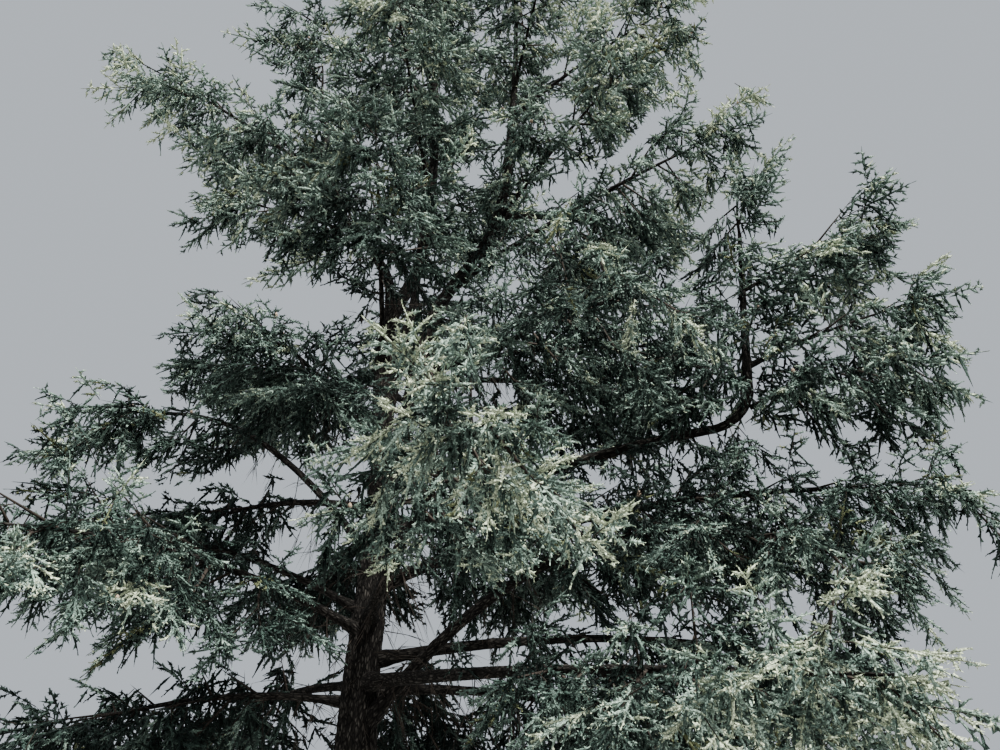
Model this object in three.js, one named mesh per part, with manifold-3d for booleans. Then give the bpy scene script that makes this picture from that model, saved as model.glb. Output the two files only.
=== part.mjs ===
// A mature blue Atlas cedar: one trunk that forks into a main stem and three leaders, long level
// boughs, and flat masses of foliage at their ends. Millimetres and degrees, +Z up. The origin is
// the middle of the flat cut under the trunk, +X is the right of the tree and -Y its front.

import * as THREE from 'three';
import { mergeVertices } from 'three/addons/utils/BufferGeometryUtils.js';
import Module from 'manifold-3d';

const wasm = await Module();
wasm.setup();
const { Manifold, Mesh } = wasm;

// Fit between neighbouring pieces
const GAP = 0.35;
const TWIG_CLEARANCE = 2;

// Stems: height, x, y and radius of each station, from the foot to the tip. Their rings are closer
// together near the foot where crowding is above 1.
const STEMS = {
  trunk: {
    sides: 12, rings: 14, crowding: 1.6, stations: [
      [0, 0, 0, 450], [1300, 0, 0, 410], [3900, 0, 0, 335], [6500, 190, 0, 280], [8500, 300, 0, 215],
      [11800, 350, 0, 165], [13600, 1050, 40, 145], [17000, 1350, 150, 110], [21800, 1400, 200, 42],
    ],
  },
  right_leader: {
    sides: 8, rings: 9, crowding: 1, stations: [
      [7500, 240, -30, 190], [9400, 730, -100, 175], [12000, 1400, -300, 150],
      [14000, 2700, -550, 125], [17000, 3250, -800, 90], [20000, 3500, -880, 40],
    ],
  },
  left_leader: {
    sides: 7, rings: 7, crowding: 1, stations: [
      [11600, 345, 0, 120], [13300, 300, 60, 105], [15200, -800, 140, 85], [18000, -1350, 100, 55],
      [19200, -1460, 60, 36],
    ],
  },
  back_leader: {
    sides: 7, rings: 7, crowding: 1, stations: [
      [9300, 310, 30, 140], [11500, 450, 1000, 125], [14500, 700, 2300, 95], [19000, 880, 2850, 40],
    ],
  },
  right_riser: {
    sides: 6, rings: 4, crowding: 1, stations: [
      [8100, 6915, -2200, 95], [9500, 7060, -2200, 80], [12200, 7400, -2250, 36],
    ],
  },
};

// Root flare: how far it spreads, how fast it fades upwards, and its ribs
const FLARE = { spread: 130, fade: 620, ribs: 5, depth: 0.35 };

// The bough that carries the right riser runs from the trunk to the riser's foot
const ARM = {
  host: 'trunk', height: 7150, azimuth: -18.3, reach: 7010, rise: 2300, droop: -1250,
  rootRadius: 120, tipRadius: 70, rings: 5,
};

// Boughs: host stem, height on it, azimuth (0 to the right, 90 to the back), level reach to the
// tip, rise and droop of its line, width of its foliage, and the bare share of its length.
// limb is true where the bare share is a bough of its own, and false where the foliage's own stem
// meets the host. A spire stands on its host's tip: azimuth and length of its lean, rise and width.
const LIMB = true;
const STEM = false;
const BOUGHS = {
  right_low: ['trunk', 4660, -50, 10000, -1100, -550, 4800, 0.45, LIMB],
  right_under: ['trunk', 3780, -28, 9300, 8900, -8100, 4200, 0.45, LIMB],
  right_outer: ['trunk', 6300, -21, 10300, 2600, -2700, 4400, 0.48, LIMB],
  right_side: ['trunk', 5000, 2, 9300, 1500, -2100, 5200, 0.42, STEM],
  front_low: ['trunk', 5700, -74, 9200, 1200, -1600, 2800, 0.52, LIMB],
  left_front: ['trunk', 5450, -127, 7000, 2100, -1800, 4200, 0.36, LIMB],
  left_low: ['trunk', 4300, 172, 6400, 1500, -1900, 4600, 0.36, STEM],
  left_mid: ['trunk', 5800, -171, 5900, 3700, -2200, 3600, 0.38, STEM],
  left_long: ['trunk', 6740, 179, 6400, 9800, -7100, 3800, 0.42, STEM],
  back_low_right: ['trunk', 4500, 42, 8800, 1400, -2000, 5600, 0.42, STEM],
  back_low: ['trunk', 4800, 88, 8200, 1500, -2000, 5600, 0.4, STEM],
  back_low_left: ['trunk', 4600, 133, 7400, 1400, -1900, 5400, 0.38, STEM],
  front_mid: ['right_leader', 9500, -51, 6900, 1600, -2300, 4400, 0.42, LIMB],
  left_upper: ['trunk', 9700, 168, 4700, 3400, -1300, 3400, 0.34, STEM],
  front_left_mid: ['trunk', 8900, -112, 4500, 2000, -1300, 3000, 0.4, STEM],
  back_mid_right: ['trunk', 7300, 22, 8900, 2600, -2300, 5000, 0.42, STEM],
  back_mid: ['trunk', 7600, 66, 8200, 2700, -2300, 5200, 0.42, STEM],
  back_mid_left: ['trunk', 7200, 111, 7600, 2600, -2200, 5200, 0.4, STEM],
  left_back_mid: ['trunk', 7800, 150, 6800, 2800, -2200, 4200, 0.4, STEM],
  riser_low: ['right_riser', 8500, -36, 2800, 500, -600, 3000, 0.16, STEM],
  riser_outer: ['right_riser', 9300, -13, 3350, 1250, -450, 3000, 0.16, STEM],
  riser_upper: ['right_riser', 10900, -4, 2600, 1300, -300, 2400, 0.16, STEM],
  right_back_upper: ['right_leader', 10400, 30, 6500, 2300, -1600, 4600, 0.36, STEM],
  back_upper: ['back_leader', 10600, 80, 6400, 2300, -1700, 4800, 0.34, STEM],
  back_left_upper: ['back_leader', 11200, 138, 6000, 2500, -1700, 4400, 0.34, STEM],
  right_high: ['right_leader', 12600, -19, 6500, 3200, -1000, 4400, 0.3, STEM],
  front_high: ['trunk', 11000, -84, 5200, 2500, -900, 3600, 0.44, STEM],
  front_right_high: ['right_leader', 13900, -52, 4700, 1900, -900, 3600, 0.28, STEM],
  left_high: ['left_leader', 14500, 178, 3400, 1900, -500, 2600, 0.28, STEM],
  front_left_high: ['left_leader', 13900, -122, 3700, 1900, -600, 2800, 0.32, STEM],
  right_back_high: ['right_leader', 14300, 34, 5300, 2200, -1000, 4200, 0.28, STEM],
  back_high: ['back_leader', 14200, 92, 4900, 2300, -1000, 4400, 0.26, STEM],
  left_far_high: ['left_leader', 16000, -161, 4800, 3500, -700, 3000, 0.28, STEM],
  front_top: ['trunk', 15300, -94, 4700, 2600, -900, 3800, 0.3, STEM],
  right_top: ['right_leader', 17000, -22, 4200, 2500, -800, 3600, 0.24, STEM],
  left_back_top: ['left_leader', 17400, 132, 3900, 2300, -800, 3600, 0.24, STEM],
  front_crown: ['right_leader', 17900, -72, 3400, 2200, -600, 3000, 0.24, STEM],
  back_crown: ['back_leader', 17600, 52, 3700, 2300, -700, 3600, 0.24, STEM],
  front_peak: ['trunk', 18500, -98, 3500, 2000, -500, 3200, 0.2, STEM],
  back_left_peak: ['trunk', 19300, 142, 3100, 1800, -400, 3000, 0.2, STEM],
  back_right_peak: ['trunk', 20000, 28, 2900, 1700, -300, 3000, 0.2, STEM],
  riser_inner: ['right_riser', 8900, -158, 2900, 900, -600, 3000, 0.16, STEM],
  right_inner: ['right_leader', 10600, -8, 5600, 1200, -1400, 3600, 0.34, STEM],
};
const SPIRE_FORM = { bare: 0.04, bend: 2, thinner: 4, spacing: 700 };
const SPIRES = {
  top: ['trunk', 120, 400, 3000, 3400],
  right_leader_top: ['right_leader', -30, 450, 2700, 3000],
  left_leader_top: ['left_leader', -150, 400, 2500, 2800],
  back_leader_top: ['back_leader', 80, 400, 2700, 3000],
  right_riser_top: ['right_riser', -15, 350, 1500, 2200],
};

// Limbs: radius at the root for each metre of length, and at the tip
const ROOT_RADIUS_PER_METRE = 12.5;
const TIP_RADIUS = 11;
const BOUGH_SIDES = 5;
const BOUGH_RINGS = 4;
const TWIG_SIDES = 3;
const STEM_PLAN = { sides: 4, rings: 3 };

// Foliage rule: side twigs leave the stem on alternate sides, or round a spire by the golden angle.
// They are longest near its foot, hang low on the tree and rise high on it. A twig whose tested
// shares aren't in its mass's own space is shorter, or left out.
const TWIGS = { spacing: 1420, least: 3, most: 5, first: 0.25, scatter: 0.3, last: 0.94 };
const SPLAY = { foot: 68, tip: 40, scatter: 10 };
const FAN = { power: 1.7, foot: 0.62, growth: 1.5, extra: 350, least: 0.85, scatter: 0.3 };
const DROP = { low: -0.34, high: 0.12, scatter: 0.3 };
const TREE_HEIGHT = 25600;
const GOLDEN_ANGLE = 137.5;
const SHORTER = [1, 0.8, 0.62];
const TESTED = [0.6, 1];
const TWIG_ROOT = { radius: 20, growth: 0.012, mostOfStem: 0.6 };
const WOODY_SHARE = 0.5;
const STEM_END = 0.95;
const SEED_STEP = 7919;

// Sprays: flat blades that stand for a fan of needled shoots. Lengths are shares of the twig's
// reach, sunk is the share of the spray in its carrier, or for a side spray of the twig's radius.
const SPRAY = { width: 0.6, thickness: 0.03, widest: 0.42 };
const SIDE_SPRAY = {
  at: 0.5, length: 0.9, sunk: 0.9, turn: 46, turnScatter: 20, pitch: -38, pitchScatter: -24,
};
const TIP_SPRAY = { length: 0.74, sunk: 0.16, turnScatter: 10, pitch: -14, pitchScatter: -14 };
const STEM_SPRAY = 1150;

// Space that one mass keeps to, past its stem and side twigs
const SPACE = { along: 650, across: 500, depth: 1500, hang: 400, skin: 1.2 };

const COLOURS = { bark: 0x4a4440, needles: 0x5f7f78, needlesHigh: 0x6b8a84 };

const { degToRad, radToDeg, lerp, clamp } = THREE.MathUtils;
const vector = (x, y, z) => new THREE.Vector3(x, y, z);
const heading = (azimuth) => vector(Math.cos(degToRad(azimuth)), Math.sin(degToRad(azimuth)), 0);

/** Numbers from 0 to 1 that are the same on every run for one seed. */
function seeded(seed) {
  const factor = 48271;
  const modulus = 2147483647;
  let state = seed;
  return () => {
    state = (state * factor) % modulus;
    return state / modulus;
  };
}

/** Turns a closed three.js geometry into a solid. */
function solidOf(geometry) {
  geometry.deleteAttribute('normal');
  geometry.deleteAttribute('uv');
  const merged = mergeVertices(geometry, 1e-4);
  return new Manifold(new Mesh({
    numProp: 3,
    vertProperties: new Float32Array(merged.attributes.position.array),
    triVerts: new Uint32Array(merged.index.array),
  }));
}

/** Turns a solid back into a three.js geometry. */
function geometryOf(solid) {
  const mesh = solid.getMesh();
  const geometry = new THREE.BufferGeometry();
  geometry.setAttribute('position', new THREE.BufferAttribute(mesh.vertProperties, 3));
  geometry.setIndex(new THREE.BufferAttribute(mesh.triVerts, 1));
  return geometry;
}

/** Bends a closed unit cylinder: place(t, angle, rim) gives each of its points. */
function bent(sides, rings, place) {
  const geometry = new THREE.CylinderGeometry(1, 1, 1, sides, rings).rotateX(Math.PI / 2);
  const points = geometry.attributes.position;
  const point = new THREE.Vector3();
  for (let i = 0; i < points.count; i += 1) {
    point.fromBufferAttribute(points, i);
    const placed = place(point.z + 0.5, Math.atan2(point.y, point.x), Math.hypot(point.x, point.y));
    points.setXYZ(i, placed.x, placed.y, placed.z);
  }
  return solidOf(geometry);
}

/** Axis point and radius of a stem at a height, on a smooth curve through its stations. */
function stemAt(stem, height) {
  const { stations } = STEMS[stem];
  const last = stations.length - 1;
  const above = stations.findIndex((station) => station[0] > height);
  const from = above < 0 ? last - 1 : Math.max(above - 1, 0);
  const [low, high] = [stations[from], stations[from + 1]];
  const span = high[0] - low[0];
  const u = (height - low[0]) / span;
  const slope = (k, axis) => {
    const before = stations[Math.max(k - 1, 0)];
    const after = stations[Math.min(k + 1, last)];
    return (after[axis] - before[axis]) / (after[0] - before[0]);
  };
  const at = (axis) => {
    const blend = u * u * (3 - 2 * u);
    const leaving = u * (1 - u) ** 2 * span * slope(from, axis);
    const arriving = u * u * (u - 1) * span * slope(from + 1, axis);
    return lerp(low[axis], high[axis], blend) + leaving + arriving;
  };
  return { point: vector(at(1), at(2), height), radius: lerp(low[3], high[3], u) };
}

/** A stem with level rings, grown by a margin. The trunk's foot flares into its root ribs. */
function stemSolid(stem, margin) {
  const { sides, rings, crowding, stations } = STEMS[stem];
  const foot = stations[0][0];
  const tip = stations[stations.length - 1][0];
  return bent(sides, rings, (t, angle, rim) => {
    const height = lerp(foot, tip, t ** crowding);
    const { point, radius } = stemAt(stem, height);
    const rib = 1 + FLARE.depth * Math.cos(FLARE.ribs * angle);
    const flare = stem === 'trunk' ? FLARE.spread * rib * Math.exp(-height / FLARE.fade) : 0;
    const reach = rim * (radius + flare + margin);
    return point.add(vector(Math.cos(angle), Math.sin(angle), 0).multiplyScalar(reach));
  });
}

/** The line of a bough, twig or spire from a start point, with its side direction. */
function lineFrom(start, azimuth, reach, rise, droop, bend = 1) {
  const forward = heading(azimuth);
  const point = (s) => start.clone()
    .addScaledVector(forward, reach * s ** bend)
    .add(vector(0, 0, rise * s + droop * s * s));
  const tangent = (s) => forward.clone()
    .multiplyScalar(reach * bend * s ** (bend - 1))
    .add(vector(0, 0, rise + 2 * droop * s))
    .normalize();
  return { point, tangent, side: heading(azimuth + 90), azimuth };
}

/** A tapering limb along a line from one share of its length to another. */
function limbSolid(line, from, to, radiusAt, sides, rings) {
  return bent(sides, rings, (t, angle, rim) => {
    const s = lerp(from, to, t);
    const normal = line.tangent(s).cross(line.side);
    return line.point(s)
      .addScaledVector(line.side, rim * radiusAt(s) * Math.cos(angle))
      .addScaledVector(normal, rim * radiusAt(s) * Math.sin(angle));
  });
}

/** A spray of shoots: a flat kite of eight faces that points along a direction. */
function spraySolid(root, azimuth, pitch, length) {
  const kite = new THREE.OctahedronGeometry(1, 0);
  const points = kite.attributes.position;
  for (let i = 0; i < points.count; i += 1) {
    const along = points.getX(i) === 0 ? SPRAY.widest : (points.getX(i) + 1) / 2;
    points.setXYZ(i, along * length, points.getY(i) * length * SPRAY.width / 2,
      points.getZ(i) * length * SPRAY.thickness / 2);
  }
  kite.rotateY(-degToRad(pitch)).rotateZ(degToRad(azimuth)).translate(root.x, root.y, root.z);
  return solidOf(kite);
}

/** What the rule needs to know about a bough and its foliage. */
function boughPlan(name) {
  const [host, height, azimuth, reach, rise, droop, width, bare, limb] = BOUGHS[name];
  const root = ROOT_RADIUS_PER_METRE * reach / 1000;
  return {
    name, host, width, bare, limb, spire: false, length: reach,
    line: lineFrom(stemAt(host, height).point, azimuth, reach, rise, droop),
    start: limb ? bare + GAP / reach : 0,
    radiusAt: (s) => lerp(root, TIP_RADIUS, s),
  };
}

/** The same for a spire, which stands on its host's tip. */
function spirePlan(name) {
  const [host, azimuth, lean, rise, width] = SPIRES[name];
  const { stations } = STEMS[host];
  const [height, , , radius] = stations[stations.length - 1];
  const foot = stemAt(host, height).point.add(vector(0, 0, GAP));
  return {
    name, host, width, bare: SPIRE_FORM.bare, limb: false, spire: true, length: rise,
    line: lineFrom(foot, azimuth, lean, rise, 0, SPIRE_FORM.bend),
    start: 0,
    radiusAt: (s) => lerp(radius - SPIRE_FORM.thinner, TIP_RADIUS, s),
  };
}

/** The tilted ellipsoid that a mass of foliage fills. */
function spaceOf(mass) {
  const foot = mass.line.point(mass.bare);
  const tip = mass.line.point(1);
  const middle = mass.line.point((1 + mass.bare) / 2).add(vector(0, 0, mass.spire ? 0 : -SPACE.hang));
  const along = tip.clone().sub(foot).normalize();
  const upward = along.clone().cross(mass.line.side);
  return {
    centre: middle, axes: [along, mass.line.side, upward],
    sizes: [
      tip.distanceTo(foot) / 2 + SPACE.along,
      mass.width / 2 + SPACE.across,
      mass.spire ? mass.width / 2 + SPACE.across : SPACE.depth,
    ],
  };
}

/** How deep a point lies in a space: 0 at its middle, 1 at its skin. */
function depthIn(space, point) {
  const offset = point.clone().sub(space.centre);
  return Math.hypot(...space.axes.map((axis, k) => offset.dot(axis) / space.sizes[k]));
}

const MASSES = [...Object.keys(BOUGHS).map(boughPlan), ...Object.keys(SPIRES).map(spirePlan)];
MASSES.forEach((mass, i) => Object.assign(mass, { seed: (i + 1) * SEED_STEP, space: spaceOf(mass) }));

/** Whether a point is in the mass's own space and nearer to it than to any other mass. */
function inOwnSpace(mass, point) {
  const own = depthIn(mass.space, point);
  const nearest = MASSES.every((other) => other === mass || depthIn(other.space, point) > own);
  return own < SPACE.skin && nearest;
}

/** The side twigs of a mass: the line of each to its sprays' tip, its reach and azimuth. */
function sideTwigs(mass) {
  const random = seeded(mass.seed);
  const height = clamp(mass.line.point(1).z / TREE_HEIGHT, 0, 1);
  const leafy = 1 - mass.bare;
  const spacing = mass.spire ? SPIRE_FORM.spacing : TWIGS.spacing;
  const count = clamp(Math.round(leafy * mass.length / spacing), TWIGS.least, TWIGS.most);
  const twigs = [];
  for (let i = 0; i < count; i += 1) {
    const u = (i + TWIGS.first + TWIGS.scatter * random()) / count;
    const s = mass.bare + leafy * u * TWIGS.last;
    const sweep = lerp(SPLAY.foot, SPLAY.tip, u) + SPLAY.scatter * (random() - 0.5);
    const turn = i % 2 ? sweep : -sweep;
    const azimuth = mass.line.azimuth + (mass.spire ? i * GOLDEN_ANGLE : turn);
    const fan = (1 - u ** FAN.power) * Math.min(1, FAN.foot + FAN.growth * u);
    const full = (mass.width * fan / 2 + FAN.extra) * (FAN.least + FAN.scatter * random());
    const drop = lerp(DROP.low, DROP.high, height) + DROP.scatter * (random() - 0.5);
    const twig = (length) => lineFrom(mass.line.point(s), azimuth, length, drop * length, 0);
    const fits = (length) => TESTED.every((t) => inOwnSpace(mass, twig(length).point(t)));
    const reach = SHORTER.map((share) => share * full).find(fits);
    if (reach) twigs.push({ line: twig(reach), reach, azimuth, s });
  }
  return twigs;
}

/** A mass of foliage: its stem, side twigs and sprays fused into one solid. */
function massSolid(mass, obstacles) {
  const random = seeded(mass.seed + 1);
  const touches = (piece) => (
    obstacles.some((other) => piece.minGap(other, TWIG_CLEARANCE) < TWIG_CLEARANCE / 2)
  );
  const { sides, rings } = STEM_PLAN;
  const stem = limbSolid(mass.line, mass.start, STEM_END, mass.radiusAt, sides, rings);
  const pieces = [stem];
  const addSpray = (root, azimuth, pitch, length, sunk, carrier) => {
    const direction = heading(azimuth).multiplyScalar(Math.cos(degToRad(pitch)));
    direction.z = Math.sin(degToRad(pitch));
    const foot = root.clone().addScaledVector(direction, -sunk);
    const tip = foot.clone().addScaledVector(direction, length);
    const spray = spraySolid(foot, azimuth, pitch, length);
    const crosses = pieces.some((other) => other !== carrier && !other.intersect(spray).isEmpty());
    if (!crosses && inOwnSpace(mass, tip) && !touches(spray)) pieces.push(spray);
  };
  sideTwigs(mass).forEach(({ line, reach, azimuth, s }, i) => {
    const thickest = TWIG_ROOT.mostOfStem * mass.radiusAt(s);
    const root = Math.min(thickest, TWIG_ROOT.radius + reach * TWIG_ROOT.growth);
    const radiusAt = (t) => lerp(root, TIP_RADIUS, t / WOODY_SHARE);
    const twig = limbSolid(line, 0, WOODY_SHARE, radiusAt, TWIG_SIDES, 1);
    const [turn, sidePitch, tipPitch] = [random(), random(), random()];
    if (touches(twig)) return;
    pieces.push(twig);
    const outward = i % 2 ? -1 : 1;
    const side = SIDE_SPRAY.at * WOODY_SHARE;
    const sideTurn = outward * (SIDE_SPRAY.turn + SIDE_SPRAY.turnScatter * (turn - 0.5));
    addSpray(line.point(side), azimuth + sideTurn, SIDE_SPRAY.pitch + SIDE_SPRAY.pitchScatter * sidePitch,
      SIDE_SPRAY.length * reach, SIDE_SPRAY.sunk * radiusAt(side), twig);
    const tipTurn = TIP_SPRAY.turnScatter * (turn - 0.5);
    const tipLength = TIP_SPRAY.length * reach;
    addSpray(line.point(WOODY_SHARE), azimuth + tipTurn, TIP_SPRAY.pitch + TIP_SPRAY.pitchScatter * tipPitch,
      tipLength, TIP_SPRAY.sunk * tipLength, twig);
  });
  const endPitch = radToDeg(Math.asin(mass.line.tangent(STEM_END).z));
  const end = mass.line.point(STEM_END);
  addSpray(end, mass.line.azimuth, endPitch, STEM_SPRAY, TIP_SPRAY.sunk * STEM_SPRAY, stem);
  const fused = Manifold.union(pieces);
  const free = mass.limb || mass.spire ? fused : fused.subtract(stemSolid(mass.host, GAP));
  return free.decompose().sort((one, two) => two.volume() - one.volume())[0];
}

const tree = new THREE.Group();
const bark = new THREE.MeshStandardMaterial({ color: COLOURS.bark, roughness: 0.95, metalness: 0 });

/** Adds one named solid to the tree. */
function addNode(name, solid, material) {
  const mesh = new THREE.Mesh(geometryOf(solid), material);
  mesh.name = name;
  tree.add(mesh);
}

// Stems, each leader cut clear of the trunk that it grows from
const limbs = [];
for (const stem of Object.keys(STEMS)) {
  const whole = stemSolid(stem, 0);
  const leader = stem.endsWith('leader');
  addNode(stem, leader ? whole.subtract(stemSolid('trunk', GAP)) : whole, bark);
  limbs.push(whole);
}

// The arm, between the trunk and the riser's foot
const armFoot = stemAt(ARM.host, ARM.height).point;
const armLine = lineFrom(armFoot, ARM.azimuth, ARM.reach, ARM.rise, ARM.droop);
const armRadius = (s) => lerp(ARM.rootRadius, ARM.tipRadius, s);
const arm = limbSolid(armLine, 0, 1, armRadius, BOUGH_SIDES, ARM.rings)
  .subtract(stemSolid(ARM.host, GAP))
  .subtract(stemSolid('right_riser', GAP));
addNode('right_arm', arm, bark);
limbs.push(arm);

// Boughs of their own, cut clear of their hosts
for (const mass of MASSES.filter((each) => each.limb)) {
  const bough = limbSolid(mass.line, 0, mass.bare, mass.radiusAt, BOUGH_SIDES, BOUGH_RINGS)
    .subtract(stemSolid(mass.host, GAP));
  addNode(`${mass.name}_bough`, bough, bark);
  limbs.push(bough);
}

// Masses of foliage, each clear of the limbs and of the masses before it, lighter higher up
const obstacles = [...limbs];
for (const mass of MASSES) {
  const solid = massSolid(mass, obstacles);
  const high = clamp(mass.space.centre.z / TREE_HEIGHT, 0, 1);
  const colour = new THREE.Color(COLOURS.needles).lerp(new THREE.Color(COLOURS.needlesHigh), high);
  const needles = new THREE.MeshStandardMaterial({ color: colour, roughness: 0.85, metalness: 0 });
  addNode(`${mass.name}_foliage`, solid, needles);
  obstacles.push(solid);
}

export default tree;
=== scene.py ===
"""A mature blue Atlas cedar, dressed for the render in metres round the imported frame: fissured bark on
the trunk, leaders and boughs, needled shoots on fine twigs in the place of each mass of foliage, and a
few cones."""

import logging
import math
from collections.abc import Callable
from dataclasses import dataclass, replace
from enum import Enum

import bmesh
import bpy
import numpy as np
from mathutils import Matrix, Vector, noise


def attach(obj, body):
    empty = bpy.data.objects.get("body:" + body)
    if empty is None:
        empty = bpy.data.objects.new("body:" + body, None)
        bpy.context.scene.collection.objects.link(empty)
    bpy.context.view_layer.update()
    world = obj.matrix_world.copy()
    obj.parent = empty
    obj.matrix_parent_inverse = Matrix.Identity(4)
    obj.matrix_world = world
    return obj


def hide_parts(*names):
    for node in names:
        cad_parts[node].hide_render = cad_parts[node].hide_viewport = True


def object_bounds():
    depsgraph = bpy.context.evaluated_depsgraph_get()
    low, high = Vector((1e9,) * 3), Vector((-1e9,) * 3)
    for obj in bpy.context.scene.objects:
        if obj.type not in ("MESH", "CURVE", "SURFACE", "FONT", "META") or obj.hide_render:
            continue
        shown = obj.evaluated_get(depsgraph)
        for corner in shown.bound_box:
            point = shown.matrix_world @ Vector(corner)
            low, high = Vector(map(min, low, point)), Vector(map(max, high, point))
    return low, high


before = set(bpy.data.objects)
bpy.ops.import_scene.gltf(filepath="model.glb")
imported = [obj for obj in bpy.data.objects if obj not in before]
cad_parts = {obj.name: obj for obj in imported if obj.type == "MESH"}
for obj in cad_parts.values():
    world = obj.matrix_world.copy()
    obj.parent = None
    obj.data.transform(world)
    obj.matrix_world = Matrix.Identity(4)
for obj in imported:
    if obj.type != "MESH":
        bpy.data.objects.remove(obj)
CAD_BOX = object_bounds()

LOG = logging.getLogger("cedar")
BODY = "root"
UP = np.array([0.0, 0.0, 1.0])
TINY = 1e-9

# Short names of types. A Pair is points with their triangles, or with their radii or heights.
Array = np.ndarray
Values = float | Array
Pair = tuple[Array, Array]
Colour = tuple[float, float, float]
Material = bpy.types.Material
Node = bpy.types.Node
NodeTree = bpy.types.NodeTree
Piece = bpy.types.Object

# Stems of the source: height, x, y and radius of each station, from the foot to the tip
STEMS: dict[str, list[tuple[float, float, float, float]]] = {
    "trunk": [(0, 0, 0, 0.45), (1.3, 0, 0, 0.41), (3.9, 0, 0, 0.335), (6.5, 0.19, 0, 0.28),
              (8.5, 0.3, 0, 0.215), (11.8, 0.35, 0, 0.165), (13.6, 1.05, 0.04, 0.145),
              (17, 1.35, 0.15, 0.11), (21.8, 1.4, 0.2, 0.042)],
    "right_leader": [(7.5, 0.24, -0.03, 0.19), (9.4, 0.73, -0.1, 0.175), (12, 1.4, -0.3, 0.15),
                     (14, 2.7, -0.55, 0.125), (17, 3.25, -0.8, 0.09), (20, 3.5, -0.88, 0.04)],
    "left_leader": [(11.6, 0.345, 0, 0.12), (13.3, 0.3, 0.06, 0.105), (15.2, -0.8, 0.14, 0.085),
                    (18, -1.35, 0.1, 0.055), (19.2, -1.46, 0.06, 0.036)],
    "back_leader": [(9.3, 0.31, 0.03, 0.14), (11.5, 0.45, 1, 0.125), (14.5, 0.7, 2.3, 0.095),
                    (19, 0.88, 2.85, 0.04)],
    "right_riser": [(8.1, 6.915, -2.2, 0.095), (9.5, 7.06, -2.2, 0.08), (12.2, 7.4, -2.25, 0.036)],
}
FLARE_SPREAD, FLARE_FADE, FLARE_RIBS, FLARE_DEPTH = 0.13, 0.62, 5, 0.35

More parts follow.
